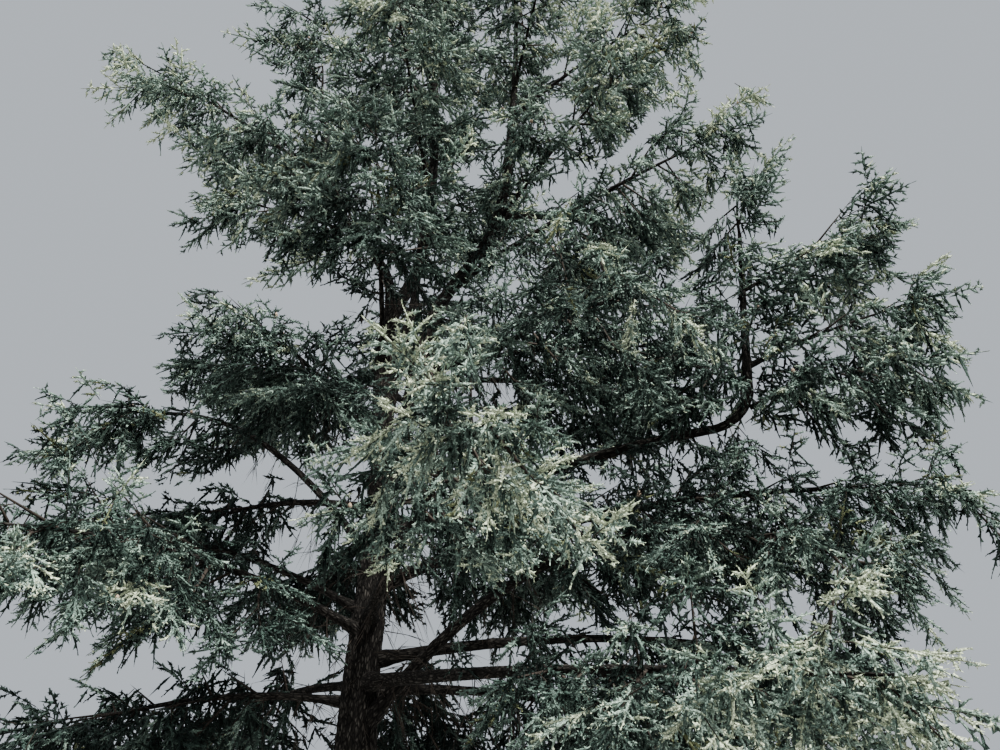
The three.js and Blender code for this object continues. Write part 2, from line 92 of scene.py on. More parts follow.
# Boughs of the source: host, height on it, azimuth, level reach, rise, droop, width of the foliage,
# bare share, and whether the bare share is a bough of its own
LIMB, STEM = True, False
BOUGHS: dict[str, tuple[str, float, float, float, float, float, float, float, bool]] = {
    "right_low": ("trunk", 4.66, -50, 10, -1.1, -0.55, 4.8, 0.45, LIMB),
    "right_under": ("trunk", 3.78, -28, 9.3, 8.9, -8.1, 4.2, 0.45, LIMB),
    "right_outer": ("trunk", 6.3, -21, 10.3, 2.6, -2.7, 4.4, 0.48, LIMB),
    "right_side": ("trunk", 5, 2, 9.3, 1.5, -2.1, 5.2, 0.42, STEM),
    "front_low": ("trunk", 5.7, -74, 9.2, 1.2, -1.6, 2.8, 0.52, LIMB),
    "left_front": ("trunk", 5.45, -127, 7, 2.1, -1.8, 4.2, 0.36, LIMB),
    "left_low": ("trunk", 4.3, 172, 6.4, 1.5, -1.9, 4.6, 0.36, STEM),
    "left_mid": ("trunk", 5.8, -171, 5.9, 3.7, -2.2, 3.6, 0.38, STEM),
    "left_long": ("trunk", 6.74, 179, 6.4, 9.8, -7.1, 3.8, 0.42, STEM),
    "back_low_right": ("trunk", 4.5, 42, 8.8, 1.4, -2, 5.6, 0.42, STEM),
    "back_low": ("trunk", 4.8, 88, 8.2, 1.5, -2, 5.6, 0.4, STEM),
    "back_low_left": ("trunk", 4.6, 133, 7.4, 1.4, -1.9, 5.4, 0.38, STEM),
    "front_mid": ("right_leader", 9.5, -51, 6.9, 1.6, -2.3, 4.4, 0.42, LIMB),
    "left_upper": ("trunk", 9.7, 168, 4.7, 3.4, -1.3, 3.4, 0.34, STEM),
    "front_left_mid": ("trunk", 8.9, -112, 4.5, 2, -1.3, 3, 0.4, STEM),
    "back_mid_right": ("trunk", 7.3, 22, 8.9, 2.6, -2.3, 5, 0.42, STEM),
    "back_mid": ("trunk", 7.6, 66, 8.2, 2.7, -2.3, 5.2, 0.42, STEM),
    "back_mid_left": ("trunk", 7.2, 111, 7.6, 2.6, -2.2, 5.2, 0.4, STEM),
    "left_back_mid": ("trunk", 7.8, 150, 6.8, 2.8, -2.2, 4.2, 0.4, STEM),
    "riser_low": ("right_riser", 8.5, -36, 2.8, 0.5, -0.6, 3, 0.16, STEM),
    "riser_outer": ("right_riser", 9.3, -13, 3.35, 1.25, -0.45, 3, 0.16, STEM),
    "riser_upper": ("right_riser", 10.9, -4, 2.6, 1.3, -0.3, 2.4, 0.16, STEM),
    "right_back_upper": ("right_leader", 10.4, 30, 6.5, 2.3, -1.6, 4.6, 0.36, STEM),
    "back_upper": ("back_leader", 10.6, 80, 6.4, 2.3, -1.7, 4.8, 0.34, STEM),
    "back_left_upper": ("back_leader", 11.2, 138, 6, 2.5, -1.7, 4.4, 0.34, STEM),
    "right_high": ("right_leader", 12.6, -19, 6.5, 3.2, -1, 4.4, 0.3, STEM),
    "front_high": ("trunk", 11, -84, 5.2, 2.5, -0.9, 3.6, 0.44, STEM),
    "front_right_high": ("right_leader", 13.9, -52, 4.7, 1.9, -0.9, 3.6, 0.28, STEM),
    "left_high": ("left_leader", 14.5, 178, 3.4, 1.9, -0.5, 2.6, 0.28, STEM),
    "front_left_high": ("left_leader", 13.9, -122, 3.7, 1.9, -0.6, 2.8, 0.32, STEM),
    "right_back_high": ("right_leader", 14.3, 34, 5.3, 2.2, -1, 4.2, 0.28, STEM),
    "back_high": ("back_leader", 14.2, 92, 4.9, 2.3, -1, 4.4, 0.26, STEM),
    "left_far_high": ("left_leader", 16, -161, 4.8, 3.5, -0.7, 3, 0.28, STEM),
    "front_top": ("trunk", 15.3, -94, 4.7, 2.6, -0.9, 3.8, 0.3, STEM),
    "right_top": ("right_leader", 17, -22, 4.2, 2.5, -0.8, 3.6, 0.24, STEM),
    "left_back_top": ("left_leader", 17.4, 132, 3.9, 2.3, -0.8, 3.6, 0.24, STEM),
    "front_crown": ("right_leader", 17.9, -72, 3.4, 2.2, -0.6, 3, 0.24, STEM),
    "back_crown": ("back_leader", 17.6, 52, 3.7, 2.3, -0.7, 3.6, 0.24, STEM),
    "front_peak": ("trunk", 18.5, -98, 3.5, 2, -0.5, 3.2, 0.2, STEM),
    "back_left_peak": ("trunk", 19.3, 142, 3.1, 1.8, -0.4, 3, 0.2, STEM),
    "back_right_peak": ("trunk", 20, 28, 2.9, 1.7, -0.3, 3, 0.2, STEM),
    "riser_inner": ("right_riser", 8.9, -158, 2.9, 0.9, -0.6, 3, 0.16, STEM),
    "right_inner": ("right_leader", 10.6, -8, 5.6, 1.2, -1.4, 3.6, 0.34, STEM),
}
# Spires of the source, on their host's tip: azimuth and length of the lean, rise and width
SPIRES: dict[str, tuple[str, float, float, float, float]] = {
    "top": ("trunk", 120, 0.4, 3, 3.4),
    "right_leader_top": ("right_leader", -30, 0.45, 2.7, 3),
    "left_leader_top": ("left_leader", -150, 0.4, 2.5, 2.8),
    "back_leader_top": ("back_leader", 80, 0.4, 2.7, 3),
    "right_riser_top": ("right_riser", -15, 0.35, 1.5, 2.2),
}
SPIRE_BARE, SPIRE_BEND, SPIRE_THINNER, SPIRE_SPACING = 0.04, 2.0, 0.004, 0.7
# Masses near the photo's viewpoint, whose shoots are finer and closer, masses that the photo shows
# dense, whose shoots are only closer, and those behind, whose shoots are fewer and stouter
NEAR_MASSES = ("front_low", "right_low", "left_front", "front_mid", "front_left_mid", "right_under",
               "right_outer")
DENSE_MASSES = ("right_high", "front_right_high", "front_high", "right_top", "front_top", "right_inner",
                "riser_upper", "riser_inner", "riser_low", "riser_outer", "right_side")
NEAR_FINENESS, DENSE_SPACING, BACK_FINENESS = 0.84, 0.82, 1.24
ROOT_RADIUS_PER_METRE, TIP_RADIUS = 0.0125, 0.011

# The source's rule for side twigs and the sprays on them
TWIG_SPACING, TWIG_LEAST, TWIG_MOST, TWIG_FIRST, TWIG_SCATTER, TWIG_LAST = 1.42, 3, 5, 0.25, 0.3, 0.94
SPLAY_FOOT, SPLAY_TIP, SPLAY_SCATTER = 68.0, 40.0, 10.0
FAN_POWER, FAN_FOOT, FAN_GROWTH, FAN_EXTRA, FAN_LEAST, FAN_SCATTER = 1.7, 0.62, 1.5, 0.35, 0.85, 0.3
DROP_LOW, DROP_HIGH, DROP_SCATTER = -0.34, 0.12, 0.3
TREE_HEIGHT, GOLDEN_ANGLE, SEED_STEP = 25.6, 137.5, 7919
SHORTER, TESTED = (1.0, 0.8, 0.62), (0.6, 1.0)
WOODY_SHARE, STEM_END = 0.5, 0.95
SIDE_AT, SIDE_LENGTH, SIDE_TURN, SIDE_PITCH = 0.25, 0.9, 46.0, -38.0
TIP_LENGTH, TIP_PITCH, STEM_SPRAY = 0.74, -14.0, 1.15
SPRAY_WIDTH, SPRAY_WIDEST, SPRAY_FOOT, SPRAY_GROWTH = 0.6, 0.42, 0.4, 0.6
SPACE_ALONG, SPACE_ACROSS, SPACE_DEPTH, SPACE_HANG, SPACE_SKIN = 0.65, 0.5, 1.5, 0.4, 1.2

# The source's arm: its height on the trunk and its radii at its two ends
ARM_HEIGHT, ARM_RADII = 7.15, (0.12, 0.07)
# Seeds of what only the scene draws
SPRAY_SEED, SHOOT_SEED, NEEDLE_SEED, TINT_SEED, CONE_SEED, BRUSH_SEED, BARK_SEED = 11, 23, 31, 41, 61, 5, 71


def heading(azimuth: Values, pitch: Values = 0.0) -> Array:
    """Unit direction of an azimuth and a pitch in degrees, as rows where they are arrays."""
    a, p = np.radians(azimuth), np.radians(pitch)
    return np.stack(np.broadcast_arrays(np.cos(a) * np.cos(p), np.sin(a) * np.cos(p), np.sin(p)), axis=-1)


def unit(vectors: Array) -> Array:
    """The rows scaled to a length of one."""
    return vectors / np.maximum(np.linalg.norm(vectors, axis=-1, keepdims=True), TINY)


def lerp(a: float, b: float, t: Values) -> Values:
    """The value a share t of the way from a to b."""
    return a + (b - a) * t


def alternate(i: int) -> int:
    """The side of a row's place i: 1 and -1 in turn."""
    return 1 if i % 2 else -1


@dataclass(frozen=True)
class Linear:
    """A value that starts at a number and grows evenly, most often with chance."""

    start: float
    growth: float

    def __call__(self, amount: Values) -> Values:
        """The value for an amount of 0, 1 or what is between or beyond."""
        return self.start + self.growth * amount


class Draws:
    """The source's own generator, so that its side twigs come out the same here."""

    FACTOR, MODULUS = 48271, 2147483647

    def __init__(self, seed: int) -> None:
        """Starts at a seed."""
        self.state = seed

    def __call__(self) -> float:
        """The next number from 0 to 1."""
        self.state = self.state * self.FACTOR % self.MODULUS
        return self.state / self.MODULUS


@dataclass(frozen=True)
class Line:
    """The line of a bough, side twig or spire."""

    start: Array
    azimuth: float
    reach: float
    rise: float
    droop: float = 0.0
    bend: float = 1.0

    def point(self, s: Values) -> Array:
        """Points at shares s of the line.

        Args:
            s: Shares from 0 at the foot to 1 at the tip.

        Returns:
            The points as rows.
        """
        s = np.asarray(s, float)[..., None]
        level = heading(self.azimuth) * self.reach * s**self.bend
        return self.start + level + UP * (self.rise * s + self.droop * s * s)

    def tangent(self, s: Values) -> Array:
        """Unit tangents at shares s of the line.

        Args:
            s: Shares from 0 at the foot to 1 at the tip.

        Returns:
            The tangents as rows.
        """
        s = np.asarray(s, float)[..., None]
        level = heading(self.azimuth) * self.reach * self.bend * s ** (self.bend - 1)
        return unit(level + UP * (self.rise + 2 * self.droop * s))

    def side(self) -> Array:
        """The level direction across the line."""
        return heading(self.azimuth + 90)


def stem_at(stem: str, heights: Values) -> Pair:
    """Axis points and radii of a stem, on the source's smooth curve through its stations.

    Args:
        stem: The stem's name.
        heights: One height or an array of them.

    Returns:
        The points as rows, and their radii.
    """
    stations = np.array(STEMS[stem], float)
    last = len(stations) - 1
    heights = np.atleast_1d(np.asarray(heights, float))
    low = np.clip(np.searchsorted(stations[:, 0], heights, side="right") - 1, 0, last - 1)
    before, after = np.maximum(np.arange(last + 1) - 1, 0), np.minimum(np.arange(last + 1) + 1, last)
    slopes = (stations[after, 1:3] - stations[before, 1:3]) / (stations[after, :1] - stations[before, :1])
    span = stations[low + 1, :1] - stations[low, :1]
    u = (heights[:, None] - stations[low, :1]) / span
    level = lerp(stations[low, 1:3], stations[low + 1, 1:3], u * u * (3 - 2 * u))
    level = level + u * (1 - u) ** 2 * span * slopes[low] + u * u * (u - 1) * span * slopes[low + 1]
    radii = lerp(stations[low, 3], stations[low + 1, 3], u[:, 0])
    return np.column_stack([level, heights]), radii


ARM_LINE = Line(stem_at("trunk", ARM_HEIGHT)[0][0], azimuth=-18.3, reach=7.01, rise=2.3, droop=-1.25)


@dataclass
class Mass:
    """One mass of foliage: the stem that it grows on, its place in the source's order, and the space
    that it keeps to."""

    name: str
    host: str
    line: Line
    width: float
    length: float
    bare: float
    limb: bool
    spire: bool
    root_radius: float
    index: int

    @property
    def seed(self) -> int:
        """The seed of its own draws."""
        return (self.index + 1) * SEED_STEP

    @property
    def node(self) -> str:
        """The name of its CAD node."""
        return f"{self.name}_foliage"

    @property
    def fineness(self) -> float:
        """The thickness of its shoots, as a share of the usual one."""
        behind = BACK_FINENESS if "back" in self.name else 1.0
        return NEAR_FINENESS if self.name in NEAR_MASSES else behind

    @property
    def spacing(self) -> float:
        """The spacing of its shoots, as a share of the usual one."""
        return DENSE_SPACING if self.name in DENSE_MASSES else self.fineness

    def radius_at(self, s: Values) -> Values:
        """Radius of the stem at a share of its line."""
        return lerp(self.root_radius, TIP_RADIUS, s)

    def space(self) -> tuple[Array, Array, Array]:
        """Centre, axes and half sizes of the tilted ellipsoid that the mass fills.

        Returns:
            The centre, the three axes as rows, and the half size along each.
        """
        foot, tip = self.line.point(self.bare), self.line.point(1.0)
        centre = self.line.point((1 + self.bare) / 2) - UP * (0 if self.spire else SPACE_HANG)
        along = unit(tip - foot)
        across = self.width / 2 + SPACE_ACROSS
        half = np.linalg.norm(tip - foot) / 2 + SPACE_ALONG
        axes = np.array([along, self.line.side(), np.cross(along, self.line.side())])
        return centre, axes, np.array([half, across, across if self.spire else SPACE_DEPTH])


def plan_masses() -> list[Mass]:
    """Every mass of foliage in the source's order, boughs first and then spires.

    Returns:
        The masses.
    """
    masses = []
    for name, (host, height, azimuth, reach, rise, droop, width, bare, limb) in BOUGHS.items():
        line = Line(stem_at(host, height)[0][0], azimuth, reach, rise, droop)
        masses.append(Mass(name, host, line, width, reach, bare, limb, False, ROOT_RADIUS_PER_METRE * reach,
                           len(masses)))
    for name, (host, azimuth, lean, rise, width) in SPIRES.items():
        height, radius = STEMS[host][-1][0], STEMS[host][-1][3]
        line = Line(stem_at(host, height)[0][0], azimuth, lean, rise, bend=SPIRE_BEND)
        masses.append(Mass(name, host, line, width, rise, SPIRE_BARE, False, True, radius - SPIRE_THINNER,
                           len(masses)))
    return masses


class Spaces:
    """The masses' spaces together, which settle what belongs to which."""

    CHUNK = 8000

    def __init__(self, masses: list[Mass]) -> None:
        """Gathers the spaces as arrays."""
        spaces = [mass.space() for mass in masses]
        self.centres, self.axes, self.sizes = (np.array(part) for part in zip(*spaces))

    def own(self, points: Array, mass: Array, skin: float = SPACE_SKIN) -> Array:
        """Whether each point is in its own mass's space and nearer to it than to any other.

        Args:
            points: Points as rows.
            mass: The index of the mass that each point belongs to.
            skin: How far the space reaches, as a share of its half sizes.

        Returns:
            One truth value a point.
        """
        kept = np.zeros(len(points), bool)
        for first in range(0, len(points), self.CHUNK):
            part = slice(first, first + self.CHUNK)
            offsets = points[part, None, :] - self.centres[None]
            depth = np.linalg.norm(np.einsum("nmj,mkj->nmk", offsets, self.axes) / self.sizes, axis=-1)
            own = depth[np.arange(len(depth)), mass[part]]
            kept[part] = (own < skin) & (own <= depth.min(axis=1) + TINY)
        return kept

    def nearest(self, point: Array) -> int:
        """The index of the mass whose space a point is deepest in.

        Args:
            point: The point.

        Returns:
            The mass's place in the source's order.
        """
        offsets = point - self.centres
        depth = np.linalg.norm(np.einsum("mj,mkj->mk", offsets, self.axes) / self.sizes, axis=-1)
        return int(depth.argmin())


@dataclass
class Twigs:
    """Many twigs or shoots as arrays: roots, azimuths and pitches in degrees, lengths and sags."""

    root: Array
    azimuth: Array
    pitch: Array
    length: Array
    sag: Array
    radius: Array
    mass: Array
    spray: Array

    def __len__(self) -> int:
        """How many there are."""
        return len(self.length)

    def point(self, t: Values) -> Array:
        """The point of each twig at its share t.

        Args:
            t: One share for all or one for each.

        Returns:
            The points as rows.
        """
        t = np.broadcast_to(t, self.length.shape)
        straight = heading(self.azimuth, self.pitch) * (self.length * t)[:, None]
        return self.root + straight - UP * (self.sag * self.length * t * t)[:, None]

    def keep(self, mask: Array) -> "Twigs":
        """The twigs where a mask is true."""
        return Twigs(*(getattr(self, name)[mask] for name in self.__dataclass_fields__))

    @staticmethod
    def join(parts: list["Twigs"]) -> "Twigs":
        """Several sets of twigs as one."""
        names = Twigs.__dataclass_fields__
        return Twigs(*(np.concatenate([getattr(part, name) for part in parts]) for name in names))


@dataclass(frozen=True)
class BranchRule:
    """How a row of smaller twigs leaves each twig, alternately to its two sides."""

    spacing: float
    least: int
    most: int
    first: float
    last: float
    angle: float
    angle_spread: float
    pitch_share: float
    pitch: float
    pitch_spread: float
    sag: float
    radius: float

    PLACE, STEEPEST, HIGHEST = Linear(0.2, 0.6), -85, 70

    def grow(self, parents: Twigs, length: Callable[[Array, Array], Array],
             closeness: Array, rng: np.random.Generator) -> Twigs:
        """Grows the row on each parent.

        Args:
            parents: The twigs that carry the row.
            length: Gives each new twig's length from its parent's length and its place on it.
            closeness: The spacing in each mass, as a share of the usual one.
            rng: The seeded generator.

        Returns:
            The new twigs.
        """
        room = parents.length * (self.last - self.first) / (self.spacing * closeness[parents.mass])
        count = np.clip(np.round(room), self.least, self.most).astype(int)
        parent = np.repeat(np.arange(len(parents)), count)
        k = np.arange(len(parent)) - np.repeat(np.cumsum(count) - count, count)
        total = len(parent)
        places = (k + self.PLACE.start + self.PLACE.growth * rng.random(total)) / count[parent]
        t = lerp(self.first, self.last, places)
        side = np.where((k + parent) % 2, 1.0, -1.0)
        carriers = parents.keep(parent)
        azimuth = carriers.azimuth + side * (self.angle + self.angle_spread * rng.normal(size=total))
        pitch = carriers.pitch * self.pitch_share + self.pitch + self.pitch_spread * rng.normal(size=total)
        return Twigs(carriers.point(t), azimuth, np.clip(pitch, self.STEEPEST, self.HIGHEST),
                     length(carriers.length, t), np.full(total, self.sag), np.full(total, self.radius),
                     carriers.mass, carriers.spray)


@dataclass(frozen=True)
class FillSpray:
    """A kind of spray that fills out the space above and below a side twig."""

    count: int
    first: float
    last: float
    turn: Linear
    pitch: Linear
    length: float

    def places(self, rng: np.random.Generator) -> Array:
        """Shares of the side twig where such sprays leave it."""
        return lerp(self.first, self.last, (np.arange(self.count) + rng.random(self.count)) / self.count)


def kite(length: Array, t: Array) -> Array:
    """Half the width of the source's flat spray at a share t of its length."""
    rising, falling = t / SPRAY_WIDEST, (1 - t) / (1 - SPRAY_WIDEST)
    return np.minimum(rising * SPRAY_GROWTH + SPRAY_FOOT, falling) * length * SPRAY_WIDTH / 2


@dataclass(frozen=True)
class Crown:
    """What grows in the crown: wood and bare twigs, spray axes, branchlets, and needled shoots, which are
    long fingers and short tufts on the sprays and curtains that hang below them."""

    wood: Twigs
    axes: Twigs
    branchlets: Twigs
    fingers: Twigs
    tufts: Twigs
    curtains: Twigs


@dataclass
class Growth:
    """The crown's growth: the source's side twigs and sprays, and finer ones within the same reach."""

    masses: list[Mass]
    infill_spacing: float = 0.62
    infill_share: float = 0.8
    infill_scatter: float = 0.25
    spire_infill: float = 0.7
    lift_spacing: float = 0.46
    lift_length: float = 2.2
    hang_length: float = 2.2
    lift_skin: float = 1.36
    stem_spacing: float = 0.42
    filling: tuple[FillSpray, ...] = (
        FillSpray(count=1, first=0.3, last=1.0, turn=Linear(20, 60), pitch=Linear(-70, 30), length=0.8),
        FillSpray(count=1, first=0.5, last=1.0, turn=Linear(15, 45), pitch=Linear(8, 26), length=0.8))
    snag_spacing: float = 0.24
    leader_spacing: float = 0.2
    skin: float = 1.48
    wood_margin: float = 0.3
    shoot_margin: float = 0.12
    lowest: float = 0.5
    branchlets: BranchRule = BranchRule(
        spacing=0.134, least=4, most=22, first=0.05, last=0.98, angle=44, angle_spread=7,
        pitch_share=0.75, pitch=-4, pitch_spread=11, sag=0.1, radius=0.0045)
    shoots: BranchRule = BranchRule(
        spacing=0.19, least=1, most=7, first=0.12, last=0.85, angle=44, angle_spread=8,
        pitch_share=0.55, pitch=2, pitch_spread=12, sag=0.0, radius=0.0)
    curtains: BranchRule = BranchRule(
        spacing=0.2, least=2, most=8, first=0.04, last=0.74, angle=50, angle_spread=40,
        pitch_share=0.25, pitch=-60, pitch_spread=14, sag=0.0, radius=0.0)

    # Points along the limbs, and how far sprays, branchlets and shoots keep clear of them
    STEM_STEP, BARE_POINTS, CHUNK = 0.15, 20, 4000
    SPRAY_CLEAR, BRANCHLET_CLEAR, SHOOT_CLEAR = 0.08, 0.03, 0.02
    # Twigs that rise or hang: the bare share that they take up, their turns, pitches and lengths
    LIFT_BARE, LIFT_LAST, LIFT_TURN = 0.1, 0.96, Linear(12, 60)
    LIFT_UP, LIFT_DOWN = Linear(26, 36), Linear(-34, -30)
    LIFT_SHARE, LIFT_TAPER = Linear(0.7, 0.5), Linear(1.1, -0.45)
    # Sprays: their sag and radius, the wood that carries them, and those at its sides, tip and between
    SAG, SAG_LESS, SAG_SCATTER, AXIS_RADIUS = 0.1, 0.14, 0.03, Linear(0.006, 0.0035)
    WOOD_SHARE, WOOD_RADIUS, SIDES = 0.8, Linear(0.016, 0.008), ((1, SIDE_AT, 1.0), (-1, SIDE_AT + 0.12, 0.8))
    SIDE_TURNS, SIDE_FALL = Linear(SIDE_TURN, 10), Linear(0.45, 0.95)
    TIP_FOOT, TIP_SCATTER, TIP_FALL, TIP_BLEND = WOODY_SHARE * 0.9, 4, Linear(TIP_PITCH, -14), 0.6
    FILL_REACH, FILL_SHARE, END_FOOT = Linear(0.45, 0.4), Linear(0.8, 0.4), STEM_END - 0.05
    # Bare twigs: where a pair of values stands, the first is for those that stand, the second for those
    # that hang
    SNAG_FREE, SNAG_TURN = 0.5, Linear(35, 50)
    SNAG_PITCH = Linear(-20, 45), Linear(-82, 36)
    SNAG_LENGTH = Linear(0.35, 0.75), Linear(0.55, 0.75)
    TRUNK_SNAGS, TRUNK_PITCH, TRUNK_LENGTH = (2.6, 10.5, 0.14), Linear(-58, 55), Linear(0.35, 0.6)
    FORKS, FORK_AT, FORK_TURN = 4, Linear(0.25, 0.65), 110
    FORK_PITCH, FORK_LENGTH = Linear(-12, 0.7), Linear(0.3, 0.45)
    SNAG_SAG, SNAG_RADIUS, FORK_SAG, FORK_RADIUS = 0.12, 0.011, 0.15, 0.006
    # Sprays straight from each stem, with the height where they start and how close they are, from the
    # arm and from the masses' own stems, and the share of a stem's radius where a twig's foot is
    LEADERS = (("trunk", 10.8, 1.0), ("right_leader", 11.0, 1.0), ("left_leader", 13.0, 1.0),
               ("back_leader", 11.0, 1.0), ("right_riser", 8.4, 2.4))
    LEADER_SCATTER, LEADER_PITCH, LEADER_LENGTH, SUNK = 0.1, Linear(-50, 70), Linear(0.9, 0.8), 0.9
    ARM_PLACES, ARM_TURN, ARM_LENGTH = (0.34, 1.0, 0.018), Linear(30, 60), Linear(0.8, 0.6)
    ARM_PITCH = Linear(15, 40), Linear(-66, 40)
    STEM_FIRST, STEM_BARE, STEM_TURN = 0.12, 0.16, Linear(25, 65)
    STEM_PITCH, STEM_LENGTH = (Linear(12, 32), Linear(-48, -30)), Linear(0.6, 0.65)
    # Where sprays and branchlets are tested, and the lengths of branchlets, shoots, ends and curtains
    SPRAY_TESTED, SPRAY_MIDDLE, BRANCHLET_TESTED = 0.9, 0.5, 0.6
    BRANCHLET_ANGLE, BRANCHLET_EXTRA, BRANCHLET_SHARE = 52, 0.05, Linear(0.75, 0.4)
    SHOOT_LEAST, SHOOT_GROWTH, SHOOT_MOST, SHOOT_SHARE = 0.12, 0.37, 0.8, Linear(0.75, 0.5)
    END_FROM, END_LENGTH = 0.4, Linear(0.12, 0.6)
    CURTAIN_LENGTH, CURTAIN_LEAST = Linear(0.3, 0.3), 0.75

    def __post_init__(self) -> None:
        """Prepares the spaces and the limbs that foliage keeps clear of."""
        self.spaces = Spaces(self.masses)
        self.spacing = np.array([mass.spacing for mass in self.masses])
        limbs = [stem_at(stem, np.arange(stations[0][0], stations[-1][0], self.STEM_STEP))
                 for stem, stations in STEMS.items()]
        for mass in self.masses:
            s = np.linspace(0, mass.bare, self.BARE_POINTS)
            limbs.append((mass.line.point(s), mass.radius_at(s)))
        self.limb_points, self.limb_radii = (np.concatenate(part) for part in zip(*limbs))

    def clear(self, points: Array, margin: float) -> Array:
        """Whether each point lies outside every limb by a margin.

        Args:
            points: Points as rows.
            margin: The least distance from a limb's bark, in metres.

        Returns:
            One truth value a point.
        """
        kept = np.ones(len(points), bool)
        for first in range(0, len(points), self.CHUNK):
            part = slice(first, first + self.CHUNK)
            squares = ((points[part, None, :] - self.limb_points[None]) ** 2).sum(axis=2)
            kept[part] = (squares > (self.limb_radii + margin) ** 2).all(axis=1)
        return kept

    def longest(self, mass: Mass, foot: Array, azimuth: float, full: float, slope: tuple[float, float],
                skin: float = SPACE_SKIN) -> list[tuple[Line, float]]:
        """The longest twig that fits into its mass's space.

        Args:
            mass: The mass.
            foot: Where the twig starts.
            azimuth: Its azimuth in degrees.
            full: Its length where nothing is in its way.
            slope: Its level reach and its rise, for each metre.
            skin: How far the space reaches, as a share of its half sizes.

        Returns:
            Its line and length as the only row, or no row where none fits.
        """
        for shorter in SHORTER:
            length = shorter * full
            line = Line(foot, azimuth, length * slope[0], length * slope[1])
            if self.spaces.own(line.point(np.array(TESTED)), np.full(len(TESTED), mass.index), skin).all():
                return [(line, length)]
        return []

    def side_twigs(self, mass: Mass) -> list[tuple[Line, float]]:
        """The line and reach of each of the source's side twigs of a mass, with finer ones between them.

        Args:
            mass: The mass.

        Returns:
            The line of each side twig and its reach.
        """
        draws = Draws(mass.seed)
        height = float(np.clip(mass.line.point(1.0)[2] / TREE_HEIGHT, 0, 1))
        leafy = 1 - mass.bare
        spacing = SPIRE_SPACING if mass.spire else TWIG_SPACING
        count = int(np.clip(math.floor(leafy * mass.length / spacing + 0.5), TWIG_LEAST, TWIG_MOST))
        between = self.infill_spacing * (self.spire_infill if mass.spire else 1.0)
        extra = int(round(leafy * mass.length / between))
        twigs = []

        def add(i: int, u: float, share: float) -> None:
            """Adds one side twig at place u, where it fits.

            Args:
                i: Its place in its row, which settles its side.
                u: Its place along the leafy share.
                share: Its length, as a share of the source's.
            """
            foot = mass.line.point(mass.bare + leafy * u * TWIG_LAST)
            sweep = lerp(SPLAY_FOOT, SPLAY_TIP, u) + SPLAY_SCATTER * (draws() - 0.5)
            azimuth = mass.line.azimuth + (i * GOLDEN_ANGLE if mass.spire else alternate(i) * sweep)
            fan = (1 - u**FAN_POWER) * min(1, FAN_FOOT + FAN_GROWTH * u)
            full = (mass.width * fan / 2 + FAN_EXTRA) * (FAN_LEAST + FAN_SCATTER * draws()) * share
            drop = lerp(DROP_LOW, DROP_HIGH, height) + DROP_SCATTER * (draws() - 0.5)
            twigs.extend(self.longest(mass, foot, azimuth, full, (1.0, drop)))

        for i in range(count):
            add(i, (i + TWIG_FIRST + TWIG_SCATTER * draws()) / count, 1.0)
        for i in range(extra):
            add(i + 1, (i + draws()) / extra, self.infill_share + self.infill_scatter * (draws() - 0.5))
        return twigs + self.lifted_twigs(mass, draws)

    def lifted_twigs(self, mass: Mass, draws: Draws) -> list[tuple[Line, float]]:
        """Twigs that rise above the stem or hang below it, so that the mass is as deep as its space.

        Args:
            mass: The mass.
            draws: The mass's generator.

        Returns:
            The line of each and its length.
        """
        twigs = []
        first = mass.bare - min(self.LIFT_BARE, mass.bare / 2)
        count = int(round((1 - first) * mass.length / self.lift_spacing))
        for i in range(count):
            u = (i + draws()) / count
            foot = mass.line.point(lerp(first, self.LIFT_LAST, u))
            azimuth = mass.line.azimuth + alternate(i) * self.LIFT_TURN(draws())
            rise, length = (self.LIFT_DOWN, self.hang_length) if i % 2 else (self.LIFT_UP, self.lift_length)
            pitch = math.radians(rise(draws()))
            slope = math.cos(pitch), math.sin(pitch)
            full = length * self.LIFT_SHARE(draws()) * self.LIFT_TAPER(u)
            twigs += self.longest(mass, foot, azimuth, full, slope, self.lift_skin)
        return twigs

    def spray_axes(self) -> tuple[Twigs, Twigs, Twigs]:
        """Axes of every spray, the inner wood of the side twigs that carry them, and thin bare twigs.

        Returns:
            The three sets of twigs in that order.
        """
        rng = np.random.default_rng(SPRAY_SEED)
        axes, wood, bare = [], [], self.trunk_snags(rng)

        def axis(root: Array, azimuth: float, pitch: float, length: float, mass: int) -> None:
            """Notes the axis of one spray."""
            sag = self.SAG - self.SAG_LESS * min(1.0, root[2] / TREE_HEIGHT) + self.SAG_SCATTER * rng.normal()
            axes.append((root, azimuth, pitch, length, sag, self.AXIS_RADIUS(length), mass, len(axes)))

